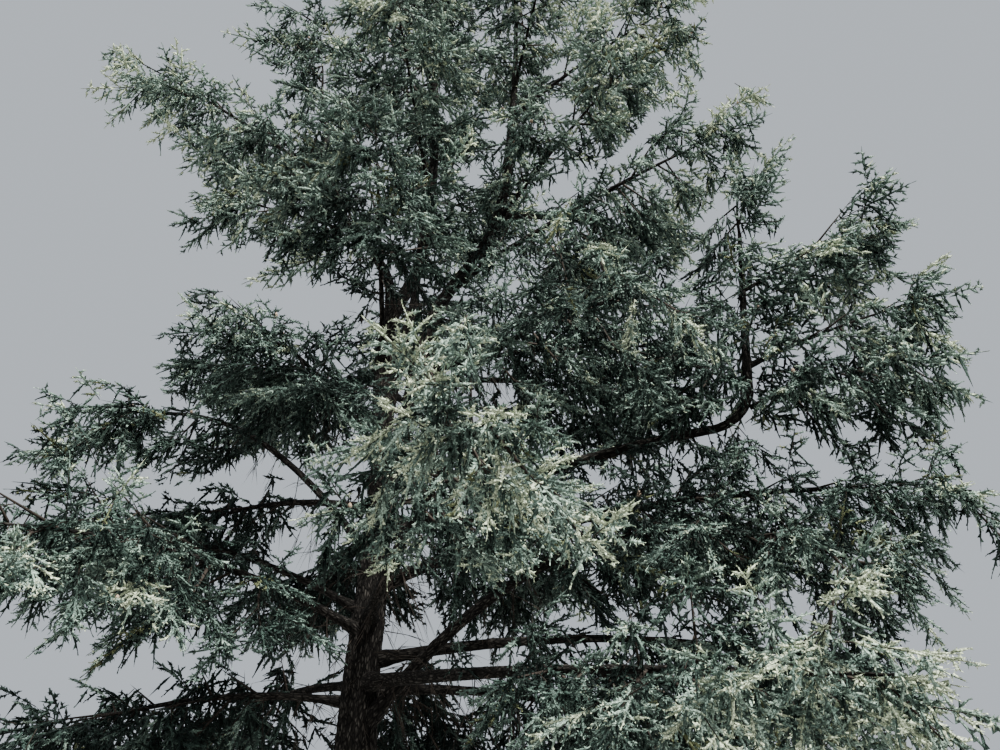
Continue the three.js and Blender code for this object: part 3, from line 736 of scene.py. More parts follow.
        for index, mass in enumerate(self.masses):
            for line, reach in self.side_twigs(mass):
                pitch = math.degrees(math.atan2(line.rise, line.reach))
                length = math.hypot(line.rise, line.reach) * self.WOOD_SHARE
                wood.append((line.start, line.azimuth, pitch, length, 0.0, self.WOOD_RADIUS(reach), index,
                             len(axes)))
                outward = 1 if rng.random() < 0.5 else -1
                for way, at, share in self.SIDES:
                    axis(line.point(at), line.azimuth + outward * way * self.SIDE_TURNS(rng.normal()),
                         SIDE_PITCH * self.SIDE_FALL(rng.random()), share * SIDE_LENGTH * reach, index)
                axis(line.point(self.TIP_FOOT), line.azimuth + self.TIP_SCATTER * rng.normal(),
                     lerp(pitch, self.TIP_FALL(rng.random()), self.TIP_BLEND), TIP_LENGTH * reach, index)
                for spray in self.filling:
                    for at in spray.places(rng):
                        way = 1 if rng.random() < 0.5 else -1
                        axis(line.point(at), line.azimuth + way * spray.turn(rng.random()),
                             spray.pitch(rng.random()),
                             spray.length * self.FILL_REACH(reach) * self.FILL_SHARE(rng.random()), index)
            self.stem_sprays(mass, axis, rng)
            bare += self.snags(mass, rng)
            pitch = math.degrees(math.asin(mass.line.tangent(STEM_END)[2]))
            axis(mass.line.point(self.END_FOOT), mass.line.azimuth, pitch, STEM_SPRAY, index)
        self.leader_sprays(axis, rng)
        return tuple(Twigs(*(np.array(column) for column in zip(*rows))) for rows in (axes, wood, bare))

    def snags(self, mass: Mass, rng: np.random.Generator) -> list[tuple]:
        """Thin bare twigs on the bare part of a bough.

        Args:
            mass: The mass at the bough's end.
            rng: The seeded generator.

        Returns:
            One row of twig values for each.
        """
        rows = []
        first = self.SNAG_FREE / mass.length
        count = int(max(0.0, mass.bare - first) * mass.length / self.snag_spacing)
        for i in range(count):
            foot = mass.line.point(lerp(first, mass.bare, (i + rng.random()) / count))
            azimuth = mass.line.azimuth + alternate(i) * self.SNAG_TURN(rng.random())
            hangs = i % 3 != 0
            pitch, length = self.SNAG_PITCH[hangs](rng.random()), self.SNAG_LENGTH[hangs](rng.random())
            rows += self.forked(foot, azimuth, pitch, length, mass.index, rng)
        return rows

    def trunk_snags(self, rng: np.random.Generator) -> list[tuple]:
        """Thin bare twigs on the trunk below the crown, most of them hanging.

        Args:
            rng: The seeded generator.

        Returns:
            One row of twig values for each.
        """
        rows = []
        for i, (point, radius) in enumerate(zip(*stem_at("trunk", np.arange(*self.TRUNK_SNAGS)))):
            azimuth = i * GOLDEN_ANGLE
            pitch, length = self.TRUNK_PITCH(rng.random()), self.TRUNK_LENGTH(rng.random())
            foot = point + heading(azimuth) * radius * self.SUNK
            rows += self.forked(foot, azimuth, pitch, length, self.spaces.nearest(foot), rng)
        return rows

    def forked(self, root: Array, azimuth: float, pitch: float, length: float, index: int,
               rng: np.random.Generator) -> list[tuple]:
        """One thin bare twig with finer ones on it.

        Args:
            root: Where it leaves its limb.
            azimuth: Its azimuth in degrees.
            pitch: Its pitch in degrees.
            length: Its length.
            index: The mass that it goes with.
            rng: The seeded generator.

        Returns:
            One row of twig values for each.
        """
        rows = [(root, azimuth, pitch, length, self.SNAG_SAG, self.SNAG_RADIUS, index, 0)]
        for at in self.FORK_AT(rng.random(self.FORKS)):
            side = azimuth + self.FORK_TURN * (rng.random() - 0.5)
            fork = root + heading(azimuth, pitch) * length * at - UP * self.SNAG_SAG * length * at * at
            rows.append((fork, side, self.FORK_PITCH(pitch), length * self.FORK_LENGTH(rng.random()),
                         self.FORK_SAG, self.FORK_RADIUS, index, 0))
        return rows

    def leader_sprays(self, axis: Callable[..., None], rng: np.random.Generator) -> None:
        """Sprays that grow straight from the stems and the arm, each in the nearest mass's space.

        Args:
            axis: Notes one spray.
            rng: The seeded generator.
        """
        for stem, bare, closeness in self.LEADERS:
            heights = np.arange(bare, STEMS[stem][-1][0], self.leader_spacing / closeness)
            points, radii = stem_at(stem, heights + self.LEADER_SCATTER * rng.random(len(heights)))
            for i, (point, radius) in enumerate(zip(points, radii)):
                azimuth = i * GOLDEN_ANGLE
                pitch, length = self.LEADER_PITCH(rng.random()), self.LEADER_LENGTH(rng.random())
                near = self.spaces.nearest(point + heading(azimuth, pitch) * length)
                axis(point + heading(azimuth) * radius * self.SUNK, azimuth, pitch, length, near)
        for i, point in enumerate(ARM_LINE.point(np.arange(*self.ARM_PLACES))):
            azimuth = ARM_LINE.azimuth + alternate(i) * self.ARM_TURN(rng.random())
            pitch, length = self.ARM_PITCH[i % 3 != 0](rng.random()), self.ARM_LENGTH(rng.random())
            axis(point, azimuth, pitch, length, self.spaces.nearest(point + heading(azimuth, pitch) * length))

    def stem_sprays(self, mass: Mass, axis: Callable[..., None], rng: np.random.Generator) -> None:
        """Sprays that hang below and stand above the stem itself.

        Args:
            mass: The mass.
            axis: Notes one spray.
            rng: The seeded generator.
        """
        first = max(self.STEM_FIRST, mass.bare - self.STEM_BARE)
        count = int((STEM_END - first) * mass.length / self.stem_spacing)
        for i in range(count):
            foot = mass.line.point(lerp(first, STEM_END, (i + rng.random()) / count))
            azimuth = mass.line.azimuth + alternate(i) * self.STEM_TURN(rng.random())
            pitch = self.STEM_PITCH[i % 3 != 0](rng.random())
            axis(foot, azimuth, pitch, self.STEM_LENGTH(rng.random()), mass.index)

    def grow(self) -> Crown:
        """Grows the whole crown.

        Returns:
            What grows in it.
        """
        rng = np.random.default_rng(SHOOT_SEED)
        axes, wood, bare = self.spray_axes()
        inside = self.spaces.own(axes.point(self.SPRAY_TESTED), axes.mass, self.skin)
        inside &= self.within(axes.point(1.0), self.wood_margin)
        axes = axes.keep(inside & self.clear(axes.point(self.SPRAY_MIDDLE), self.SPRAY_CLEAR))
        wood = wood.keep(self.within(wood.point(1.0), self.wood_margin))

        def branchlet_length(length: Array, t: Array) -> Array:
            """Branchlets reach out to the spray's kite."""
            reach = kite(length, t) / math.sin(math.radians(self.BRANCHLET_ANGLE)) + self.BRANCHLET_EXTRA
            return reach * self.BRANCHLET_SHARE(rng.random(len(t)))

        branchlets = self.branchlets.grow(axes, branchlet_length, self.spacing, rng)
        inside = self.spaces.own(branchlets.point(1.0), branchlets.mass, self.skin)
        inside &= self.clear(branchlets.point(self.BRANCHLET_TESTED), self.BRANCHLET_CLEAR)
        branchlets = branchlets.keep(inside)

        def shoot_length(length: Array, t: Array) -> Array:
            """Shoots shorten towards the branchlet's tip."""
            full = self.SHOOT_LEAST + self.SHOOT_GROWTH * np.minimum(length, self.SHOOT_MOST) * (1 - t)
            return full * self.SHOOT_SHARE(rng.random(len(t)))

        shoots = self.shoots.grow(branchlets, shoot_length, self.spacing, rng)
        ends = replace(axes, root=axes.point(self.END_FROM), length=self.END_LENGTH(axes.length))
        fingers = Twigs.join([branchlets, ends])

        def curtain_length(length: Array, t: Array) -> Array:
            """Hanging shoots are longest along the middle of what carries them."""
            return self.CURTAIN_LENGTH(rng.random(len(t))) * (self.CURTAIN_LEAST + t * (1 - t))

        curtains = self.curtains.grow(Twigs.join([axes, wood]), curtain_length, self.spacing, rng)
        needled = (self.reaching(kind) for kind in (fingers, shoots, curtains))
        return Crown(Twigs.join([wood, bare]), axes, branchlets, *needled)

    def within(self, points: Array, margin: float) -> Array:
        """Whether each point lies within the tree's reach, give or take a margin, and off the ground.

        Args:
            points: Points as rows.
            margin: How far they may pass the CAD model's box, in metres.

        Returns:
            One truth value a point.
        """
        low, high = (np.array(corner) for corner in CAD_BOX)
        inside = ((points > low - margin) & (points < high + margin)).all(axis=1)
        return inside & (points[:, 2] > self.lowest)

    def reaching(self, shoots: Twigs) -> Twigs:
        """The shoots that keep to their own space, clear of the limbs and within the tree's reach.

        Args:
            shoots: The shoots.

        Returns:
            Those that do.
        """
        tip = shoots.point(1.0)
        inside = self.spaces.own(tip, shoots.mass, self.skin) & self.clear(tip, self.SHOOT_CLEAR)
        return shoots.keep(inside & self.within(tip, self.shoot_margin))


def linked(name: str, data: bpy.types.ID) -> Piece:
    """An object that shows the data, linked to the scene.

    Args:
        name: The object's name.
        data: Its mesh, lamp or camera data.

    Returns:
        The object.
    """
    made = bpy.data.objects.new(name, data)
    bpy.context.scene.collection.objects.link(made)
    return made


def from_bmesh(name: str, bm: bmesh.types.BMesh, material: Material) -> Piece:
    """An object of a finished bmesh in one material.

    Args:
        name: The piece's name.
        bm: The bmesh, which is freed.
        material: Its material.

    Returns:
        The object, linked to the scene.
    """
    mesh = bpy.data.meshes.new(name)
    bm.to_mesh(mesh)
    bm.free()
    mesh.materials.append(material)
    return linked(name, mesh)


def mesh_object(name: str, points: Array, triangles: Array, materials: list[Material],
                slots: Array | None = None) -> Piece:
    """A mesh object of many small joined shapes.

    Args:
        name: The piece's name.
        points: Vertices as rows.
        triangles: Vertex numbers of each triangle as rows.
        materials: Its materials.
        slots: The material of each triangle, or None for the first.

    Returns:
        The object, linked to the scene.
    """
    mesh = bpy.data.meshes.new(name)
    mesh.vertices.add(len(points))
    mesh.vertices.foreach_set("co", points.astype(np.float32).ravel())
    mesh.loops.add(triangles.size)
    mesh.loops.foreach_set("vertex_index", triangles.astype(np.int32).ravel())
    mesh.polygons.add(len(triangles))
    mesh.polygons.foreach_set("loop_start", np.arange(0, triangles.size, 3, dtype=np.int32))
    for material in materials:
        mesh.materials.append(material)
    if slots is not None:
        mesh.polygons.foreach_set("material_index", slots.astype(np.int32))
    mesh.update(calc_edges=True)
    return linked(name, mesh)


def stacked(parts: list[Pair]) -> Pair:
    """Several sets of points and triangles as one.

    Args:
        parts: The sets.

    Returns:
        Their points and triangles.
    """
    starts = np.cumsum([0] + [len(points) for points, _ in parts[:-1]])
    triangles = [faces + start for (_, faces), start in zip(parts, starts)]
    return np.concatenate([points for points, _ in parts]), np.concatenate(triangles)


def repeated(points: Array, faces: Array) -> Pair:
    """The points of many like shapes as rows, and the triangles of all of them.

    Args:
        points: The points of each shape.
        faces: The triangles that the shapes share.

    Returns:
        Their points and triangles.
    """
    triangles = faces[None] + (np.arange(len(points)) * points.shape[1])[:, None, None]
    return points.reshape(-1, 3), triangles.reshape(-1, 3)


def frames(twigs: Twigs, roll: Array) -> tuple[Array, Array, Array]:
    """Three directions for each twig: along it, and two across it that are rolled round it.

    Args:
        twigs: The twigs.
        roll: How far each is rolled, in radians.

    Returns:
        The directions as rows.
    """
    along, side = heading(twigs.azimuth, twigs.pitch), heading(twigs.azimuth + 90)
    normal = np.cross(along, side)
    c, s = np.cos(roll)[:, None], np.sin(roll)[:, None]
    return along, side * c + normal * s, normal * c - side * s


def spindles(twigs: Twigs, rings: tuple[float, ...], sides: int = 3, taper: float = 0.75) -> Pair:
    """Closed tapering twigs.

    Args:
        twigs: The twigs.
        rings: Shares of the length where a ring stands between the pointed ends.
        sides: Corners of each ring.
        taper: The share of the thickness that is gone at the tip.

    Returns:
        Their points and triangles.
    """
    _, side, normal = frames(twigs, np.zeros(len(twigs)))
    rows = [twigs.point(0.0)]
    for t in rings:
        radius = (twigs.radius * (1 - taper * t))[:, None]
        for corner in range(sides):
            angle = 2 * math.pi * corner / sides
            rows.append(twigs.point(t) + (side * math.cos(angle) + normal * math.sin(angle)) * radius)
    rows.append(twigs.point(1.0))
    faces = []
    top = 1 + (len(rings) - 1) * sides
    for corner in range(sides):
        following = (corner + 1) % sides
        faces.append((0, following + 1, corner + 1))
        for ring in range(len(rings) - 1):
            a, b = 1 + ring * sides + corner, 1 + ring * sides + following
            faces += [(a, b, b + sides), (a, b + sides, a + sides)]
        faces.append((top + corner, top + following, top + sides))
    return repeated(np.stack(rows, axis=1), np.array(faces))


@dataclass(frozen=True)
class NeedleBrush:
    """One needled shoot: a slim three-sided core of close needles, and sheaves that stand out of it, each
    one tooth."""

    teeth: int
    spread: float
    width: float
    forward: float
    core: float
    variants: int = 9

    CORE_FACES = ((0, 2, 1), (0, 3, 2), (0, 1, 3), (1, 2, 4), (2, 3, 4), (3, 1, 4))
    CORE_POINTS, CORE_TURN, CORE_SHARE, CORE_AT = 5, 40, Linear(0.8, 0.4), Linear(0.22, 0.3)
    TOOTH_FIRST, TOOTH_SCATTER, TOOTH_TAPER, TOOTH_SHARE = 0.4, 22, 0.35, Linear(0.75, 0.5)
    LAST_TEETH, LAST_SHARE, FORWARD_SHARE, FURTHEST = 2, 0.45, Linear(0.6, 0.8), 1.12

    @property
    def faces(self) -> int:
        """How many triangles one shoot has."""
        return len(self.CORE_FACES) + self.teeth

    def shapes(self) -> Pair:
        """Shapes one shoot in a few variants.

        Returns:
            The variants' points, with x along the shoot as a share of its length and y and z in metres,
            and the triangles that they share.
        """
        rng = np.random.default_rng(BRUSH_SEED + self.teeth)
        count = self.teeth
        places = (np.arange(count) + self.TOOTH_FIRST) / (count + self.TOOTH_FIRST)
        points = []
        for _ in range(self.variants):
            corner = np.radians(120 * np.arange(3) + self.CORE_TURN * rng.random())
            radius = self.core * self.CORE_SHARE(rng.random(3))
            core = np.zeros((self.CORE_POINTS, 3))
            core[1:4] = np.column_stack([self.CORE_AT(rng.random(3)), radius * np.cos(corner),
                                         radius * np.sin(corner)])
            core[4, 0] = 1.0
            angle = np.radians(GOLDEN_ANGLE * np.arange(count) + self.TOOTH_SCATTER * rng.normal(size=count))
            out = self.spread * (1 - self.TOOTH_TAPER * places) * self.TOOTH_SHARE(rng.random(count))
            out[-self.LAST_TEETH:] *= self.LAST_SHARE
            forward = self.forward * self.FORWARD_SHARE(rng.random(count))
            rows = np.zeros((count, 3, 3))
            rows[:, 0, 0] = places - self.width / 2
            rows[:, 1, 0] = places + self.width / 2
            rows[:, 2, 0] = np.minimum(places + forward, self.FURTHEST)
            rows[:, 2, 1], rows[:, 2, 2] = out * np.cos(angle), out * np.sin(angle)
            points.append(np.vstack([core, rows.reshape(-1, 3)]))
        teeth = np.arange(count * 3).reshape(-1, 3) + self.CORE_POINTS
        return np.array(points), np.vstack([self.CORE_FACES, teeth])

    def closer(self) -> "NeedleBrush":
        """The same shoot with more and slimmer teeth, for masses that are seen from close by."""
        return replace(self, teeth=round(self.teeth * 1.3), spread=self.spread * 1.1, width=self.width * 0.8,
                       forward=self.forward * 0.8, core=self.core * 0.88)

    def build(self, shoots: Twigs, fineness: Array, rng: np.random.Generator) -> Pair:
        """Makes many shoots.

        Args:
            shoots: The shoots.
            fineness: The thickness of the shoots in each mass, as a share of the usual one.
            rng: The seeded generator.

        Returns:
            Their points and triangles.
        """
        shapes, faces = self.shapes()
        shape = shapes[rng.integers(0, self.variants, len(shoots))]
        thickness = fineness[shoots.mass]
        shape = shape * np.stack([np.ones(len(shoots)), thickness, thickness], axis=-1)[:, None, :]
        along, side, normal = frames(shoots, rng.random(len(shoots)) * 2 * math.pi)
        x = shape[..., 0] * shoots.length[:, None]
        points = shoots.root[:, None, :] + along[:, None, :] * x[..., None]
        points = points - UP * (shape[..., 0] ** 2 * (shoots.sag * shoots.length)[:, None])[..., None]
        points = points + side[:, None, :] * shape[..., 1, None] + normal[:, None, :] * shape[..., 2, None]
        return repeated(points, faces)

    def tints(self, tint: Array) -> Array:
        """The tint of each face: the outer teeth of a shoot are one tint paler than the rest, partly as paler
        new growth and partly as a painted highlight on its tip.

        Args:
            tint: The tint of each shoot.

        Returns:
            The tint of each triangle.
        """
        spread = np.repeat(tint[:, None], self.faces, axis=1)
        outer = np.arange(self.faces)[None] > len(self.CORE_FACES) + 0.5 * self.teeth
        # the tip's teeth one tint paler: partly new growth, partly a painted highlight
        tip_growth_and_highlight = (spread > 0) & (spread < Tint.OLIVE.value) & outer
        return (spread - tip_growth_and_highlight).ravel()


class Tint(Enum):
    """The needles' tints, from the palest to the darkest: the palest partly new growth and partly painted
    sunlight, the darkest partly the oldest sprays and partly painted shade inside the crown.
    """

    SILVER = 0
    FROST = 1
    BLUE = 2
    GREEN = 3
    DEEP = 4
    OLIVE = 5


# FROST is near the needles' own glaucous tone; SILVER is paler, as painted sunlight, and GREEN and DEEP far
# darker, as painted shade inside the crown
TINT_COLOURS: dict[Tint, Colour] = {
    Tint.SILVER: (0.4, 0.46, 0.33),
    Tint.FROST: (0.212, 0.288, 0.24),
    Tint.BLUE: (0.09, 0.135, 0.114),
    Tint.GREEN: (0.028, 0.048, 0.04),
    Tint.DEEP: (0.0065, 0.014, 0.0115),
    Tint.OLIVE: (0.1, 0.115, 0.058),
}
# The least score of each tint; what scores less is deep
TINT_SCORES: dict[Tint, float] = {Tint.SILVER: 1.15, Tint.FROST: 0.7, Tint.BLUE: 0.25, Tint.GREEN: -0.2}


@dataclass(frozen=True)
class Nodes:
    """The nodes of a material or of a group, with short ways to add and join them."""

    tree: NodeTree

    def add(self, kind: str, group: NodeTree | None = None, **values: float | Colour) -> Node:
        """Adds a node.

        Args:
            kind: The node's type, without the words that all of them start with.
            group: The shared group, where the node places one.
            values: Plain values of its inputs.

        Returns:
            The node.
        """
        node = self.tree.nodes.new(f"ShaderNode{kind}")
        if group:
            node.node_tree = group
        for name, value in values.items():
            node.inputs[name].default_value = value
        return node

    def maths(self, operation: str, factor: float | None = None, offset: float | None = None) -> Node:
        """Adds a node that multiplies, and adds where the operation says so.

        Args:
            operation: MULTIPLY or MULTIPLY_ADD.
            factor: The plain number that its first input is multiplied by.
            offset: The plain number that is added.

        Returns:
            The node.
        """
        node = self.add("Math")
        node.operation = operation
        for socket, value in ((1, factor), (2, offset)):
            if value is not None:
                node.inputs[socket].default_value = value
        return node

    def join(self, source: Node, output: str | int, *targets: tuple[Node, str | int]) -> None:
        """Joins an output of a node to inputs of others."""
        for node, target in targets:
            self.tree.links.new(source.outputs[output], node.inputs[target])

    def colour(self, mask: Node, output: str | int, *stops: tuple[float, Colour]) -> None:
        """Colours the shader by a mask.

        Args:
            mask: The node that gives the mask.
            output: Its output.
            stops: Places of the colours on the mask: the lowest, the highest and any between.
        """
        ramp = self.add("ValToRGB")
        elements = ramp.color_ramp.elements
        for number, (place, colour) in enumerate(stops):
            element = elements[number] if number < 2 else elements.new(place)
            element.position, element.color = place, (*colour, 1)
        self.join(mask, output, (ramp, "Fac"))
        self.join(ramp, "Color", (self.tree.nodes["Principled BSDF"], "Base Color"))

    def raise_surface(self, mask: Node, output: str | int, distance: float) -> None:
        """Gives the shader small relief by a mask, over a distance in metres.

        Args:
            mask: The node that gives the mask.
            output: Its output.
            distance: How high the relief stands, in metres.
        """
        bump = self.add("Bump", Distance=distance)
        self.join(mask, output, (bump, "Height"))
        self.join(bump, "Normal", (self.tree.nodes["Principled BSDF"], "Normal"))


def principled(name: str, roughness: float, specular: float = 0.5) -> tuple[Material, Nodes]:
    """A new material round one shader with its roughness and specular level, and its nodes.

    Args:
        name: The material's name.
        roughness: The shader's roughness.
        specular: Its specular level.

    Returns:
        The material and its nodes.
    """
    made = bpy.data.materials.new(name)
    made.use_nodes = True
    shader = made.node_tree.nodes["Principled BSDF"]
    shader.inputs["Roughness"].default_value = roughness
    shader.inputs["Specular IOR Level"].default_value = specular
    return made, Nodes(made.node_tree)


def mask_group(name: str, **numbers: float) -> tuple[Nodes, Node, Node]:
    """A shader node group that makes a mask from a place and some numbers.

    Args:
        name: The group's name.
        numbers: The inputs that take numbers, and their first values.

    Returns:
        Its nodes, and the two of them where it starts and ends.
    """
    group = bpy.data.node_groups.new(name, "ShaderNodeTree")
    group.interface.new_socket("Vector", in_out="INPUT", socket_type="NodeSocketVector")
    for name, value in numbers.items():
        socket = group.interface.new_socket(name, in_out="INPUT", socket_type="NodeSocketFloat")
        socket.default_value = value
    group.interface.new_socket("Mask", in_out="OUTPUT", socket_type="NodeSocketFloat")
    return Nodes(group), group.nodes.new("NodeGroupInput"), group.nodes.new("NodeGroupOutput")


def mottle_group(patch_share: float = 0.55, speck_share: float = 0.45) -> NodeTree:
    """The shared mottle: a mask of soft patches with finer specks in them.

    Args:
        patch_share: How much the patches count.
        speck_share: How much the specks count.

    Returns:
        The group.
    """
    nodes, start, end = mask_group("mottle", Patches=2.0, Specks=30.0)
    patches, specks = nodes.add("TexNoise", Detail=3.0), nodes.add("TexNoise", Detail=2.0)
    share, mask = nodes.maths("MULTIPLY", patch_share), nodes.maths("MULTIPLY_ADD", speck_share)
    nodes.join(start, "Vector", (patches, "Vector"), (specks, "Vector"))
    nodes.join(start, "Patches", (patches, "Scale"))
    nodes.join(start, "Specks", (specks, "Scale"))
    nodes.join(patches, "Fac", (share, 0))
    nodes.join(specks, "Fac", (mask, 0))
    nodes.join(share, 0, (mask, 2))
    nodes.join(mask, 0, (end, "Mask"))
    return nodes.tree


def whorl_group(middle: float = 0.62, fall: float = -0.75, patch_share: float = 0.5) -> NodeTree:
    """The mask of close whorls of needles: a pale dot at the middle of each, in soft patches.

    Args:
        middle: How pale the middle of a whorl is.
        fall: How fast that changes away from it.
        patch_share: How much the patches count.

    Returns:
        The group.
    """
    nodes, start, end = mask_group("whorls", Scale=40.0, Patches=3.0)
    cells, patches = nodes.add("TexVoronoi"), nodes.add("TexNoise", Detail=3.0)
    dots, mask = nodes.maths("MULTIPLY_ADD", fall, middle), nodes.maths("MULTIPLY_ADD", patch_share)
    nodes.join(start, "Vector", (cells, "Vector"), (patches, "Vector"))
    nodes.join(start, "Scale", (cells, "Scale"))
    nodes.join(start, "Patches", (patches, "Scale"))
    nodes.join(cells, "Distance", (dots, 0))
    nodes.join(patches, "Fac", (mask, 0))
    nodes.join(dots, 0, (mask, 2))
    nodes.join(mask, 0, (end, "Mask"))
    return nodes.tree


@dataclass(frozen=True)
class Finish:
    """A finish whose colour runs between two tones by the shared mottle."""

    name: str
    dark: Colour
    light: Colour
    roughness: float
    patches: float
    specks: float
    relief: float = 0.0
    specular: float = 0.14
    dark_at: float = 0.36
    light_at: float = 0.66

    def material(self, mottle: NodeTree) -> Material:
        """Builds the material.

        Args:
            mottle: The shared mottle group.

        Returns:
            The material.
        """
        made, nodes = principled(self.name, self.roughness, self.specular)
        group = nodes.add("Group", mottle, Patches=self.patches, Specks=self.specks)
        nodes.join(nodes.add("TexCoord"), "Object", (group, "Vector"))
        nodes.colour(group, "Mask", (self.dark_at, self.dark), (self.light_at, self.light))
        if self.relief:
            nodes.raise_surface(group, "Mask", self.relief)
        return made


@dataclass(frozen=True)
class NeedleFinish:
    """Matt needles in close whorls, each paler at its middle and darker at its edge, as painted light and
    shade on each whorl.
    """

    name: str
    colour: Colour
    shadow: float = 0.45
    light: float = 1.9
    roughness: float = 0.62
    specular: float = 0.14
    whorls: float = 44.0
    patches: float = 2.4
    relief: float = 0.014
    dark_at: float = 0.3
    light_at: float = 0.78

    def tone(self, factor: float) -> Colour:
        """The colour made lighter or darker by a factor."""
        return tuple(min(1.0, channel * factor) for channel in self.colour)

    def material(self, whorls: NodeTree) -> Material:
        """Builds the material.

        Args:
            whorls: The shared whorl group.

        Returns:
            The material.
        """
        made, nodes = principled(self.name, self.roughness, self.specular)
        group = nodes.add("Group", whorls, Scale=self.whorls, Patches=self.patches)
        nodes.join(nodes.add("TexCoord"), "Object", (group, "Vector"))
        # shaded and lit copies of the tint: painted shade between the whorls and painted light at their
        # middles
        dark, light = self.tone(self.shadow), self.tone(self.light)
        nodes.colour(group, "Mask", (self.dark_at, dark), (self.light_at, light))
        nodes.raise_surface(group, "Mask", self.relief)
        return made


@dataclass(frozen=True)
class BarkFinish:
    """Fissured bark: dark cracks between grey-brown plates, with flakes along the grain; the near-black
    cracks are partly painted shade in the recesses.
    """

    name: str
    crack: Colour
    plate: Colour
    crest: Colour
    roughness: float = 0.93
    specular: float = 0.12
    stretch: float = 3.5
    flake: float = 0.02
    scales: float = 24.0
    tone_places: tuple[float, float, float] = (0.15, 0.55, 0.95)
    ridge_share: float = 0.62
    patch_share: float = 0.5
    crack_open: float = 4.5
    crack_floor: float = 0.22

    def material(self, mottle: NodeTree) -> Material:
        """Builds the material.

        Args:
            mottle: The shared mottle group.

        Returns:
            The material.
        """
        made, nodes = principled(self.name, self.roughness, self.specular)
        grain, ridge = nodes.add("Attribute"), nodes.add("Attribute")
        grain.attribute_name, ridge.attribute_name = "grain", "ridge"
        mapping = nodes.add("Mapping", Scale=(1.0, 1.0, 1.0 / self.stretch))
        patches = nodes.add("Group", mottle, Patches=9.0, Specks=45.0)
        flakes = nodes.add("Group", mottle, Patches=50.0, Specks=130.0)
        cells = nodes.add("TexVoronoi", Scale=self.scales)
        cells.feature = "DISTANCE_TO_EDGE"
        nodes.join(grain, "Vector", (mapping, "Vector"))
        nodes.join(mapping, "Vector", (patches, "Vector"), (flakes, "Vector"), (cells, "Vector"))
        share = nodes.maths("MULTIPLY", self.patch_share)
        tone = nodes.maths("MULTIPLY_ADD", self.ridge_share)
        open_share = nodes.maths("MULTIPLY_ADD", self.crack_open, self.crack_floor)
        open_share.use_clamp = True
        cracked, height = nodes.maths("MULTIPLY"), nodes.maths("MULTIPLY")
        nodes.join(patches, "Mask", (share, 0))
        nodes.join(ridge, "Fac", (tone, 0))
        nodes.join(share, 0, (tone, 2))
        nodes.join(cells, "Distance", (open_share, 0))
        nodes.join(tone, 0, (cracked, 0))
        nodes.join(flakes, "Mask", (height, 0))
        nodes.join(open_share, 0, (cracked, 1), (height, 1))
        low, middle, high = self.tone_places
        # the cracks' near-black tone is partly the bark's own dark fissures and partly painted shade in them
        nodes.colour(cracked, 0, (low, self.crack), (high, self.crest), (middle, self.plate))
        nodes.raise_surface(height, 0, self.flake)
        return made


@dataclass(frozen=True)
class BarkRelief:
    """Long plates of bark with cracks between them."""

    plate: float
    stretch: float
    depth: float
    lump: float

    WARP_SCALE, WARP, EDGE, ROUNDING = 0.7, 0.5, 3.0, 0.6
    CREST, CREST_SCALE, MIDDLE = Linear(0.8, 0.5), 2.7, 0.65
    FLUTE_ACROSS, FLUTE_ALONG = 3.2, 0.7

    def rise(self, grain: Array) -> Pair:
        """How far the bark stands out at points of the limb's own grain space.

        Args:
            grain: The points as rows.

        Returns:
            The height in metres, and from 0 in a crack to 1 on a crest.
        """
        heights, ridges = np.empty(len(grain)), np.empty(len(grain))
        size, long = self.plate, self.plate * self.stretch
        for i, (x, y, z) in enumerate(grain):
            cell = Vector((x / size, y / size, z / long))
            cell += noise.noise_vector(cell * self.WARP_SCALE) * self.WARP
            near = noise.voronoi(cell)[0]
            plate = min(1.0, (near[1] - near[0]) * self.EDGE) ** self.ROUNDING
            crest = min(1.0, max(0.0, plate * self.CREST(noise.noise(cell * self.CREST_SCALE))))
            flute = noise.noise(Vector((x * self.FLUTE_ACROSS, y * self.FLUTE_ACROSS, z * self.FLUTE_ALONG)))
            heights[i] = self.depth * (crest - self.MIDDLE) + self.lump * flute
            ridges[i] = crest
        return heights, ridges


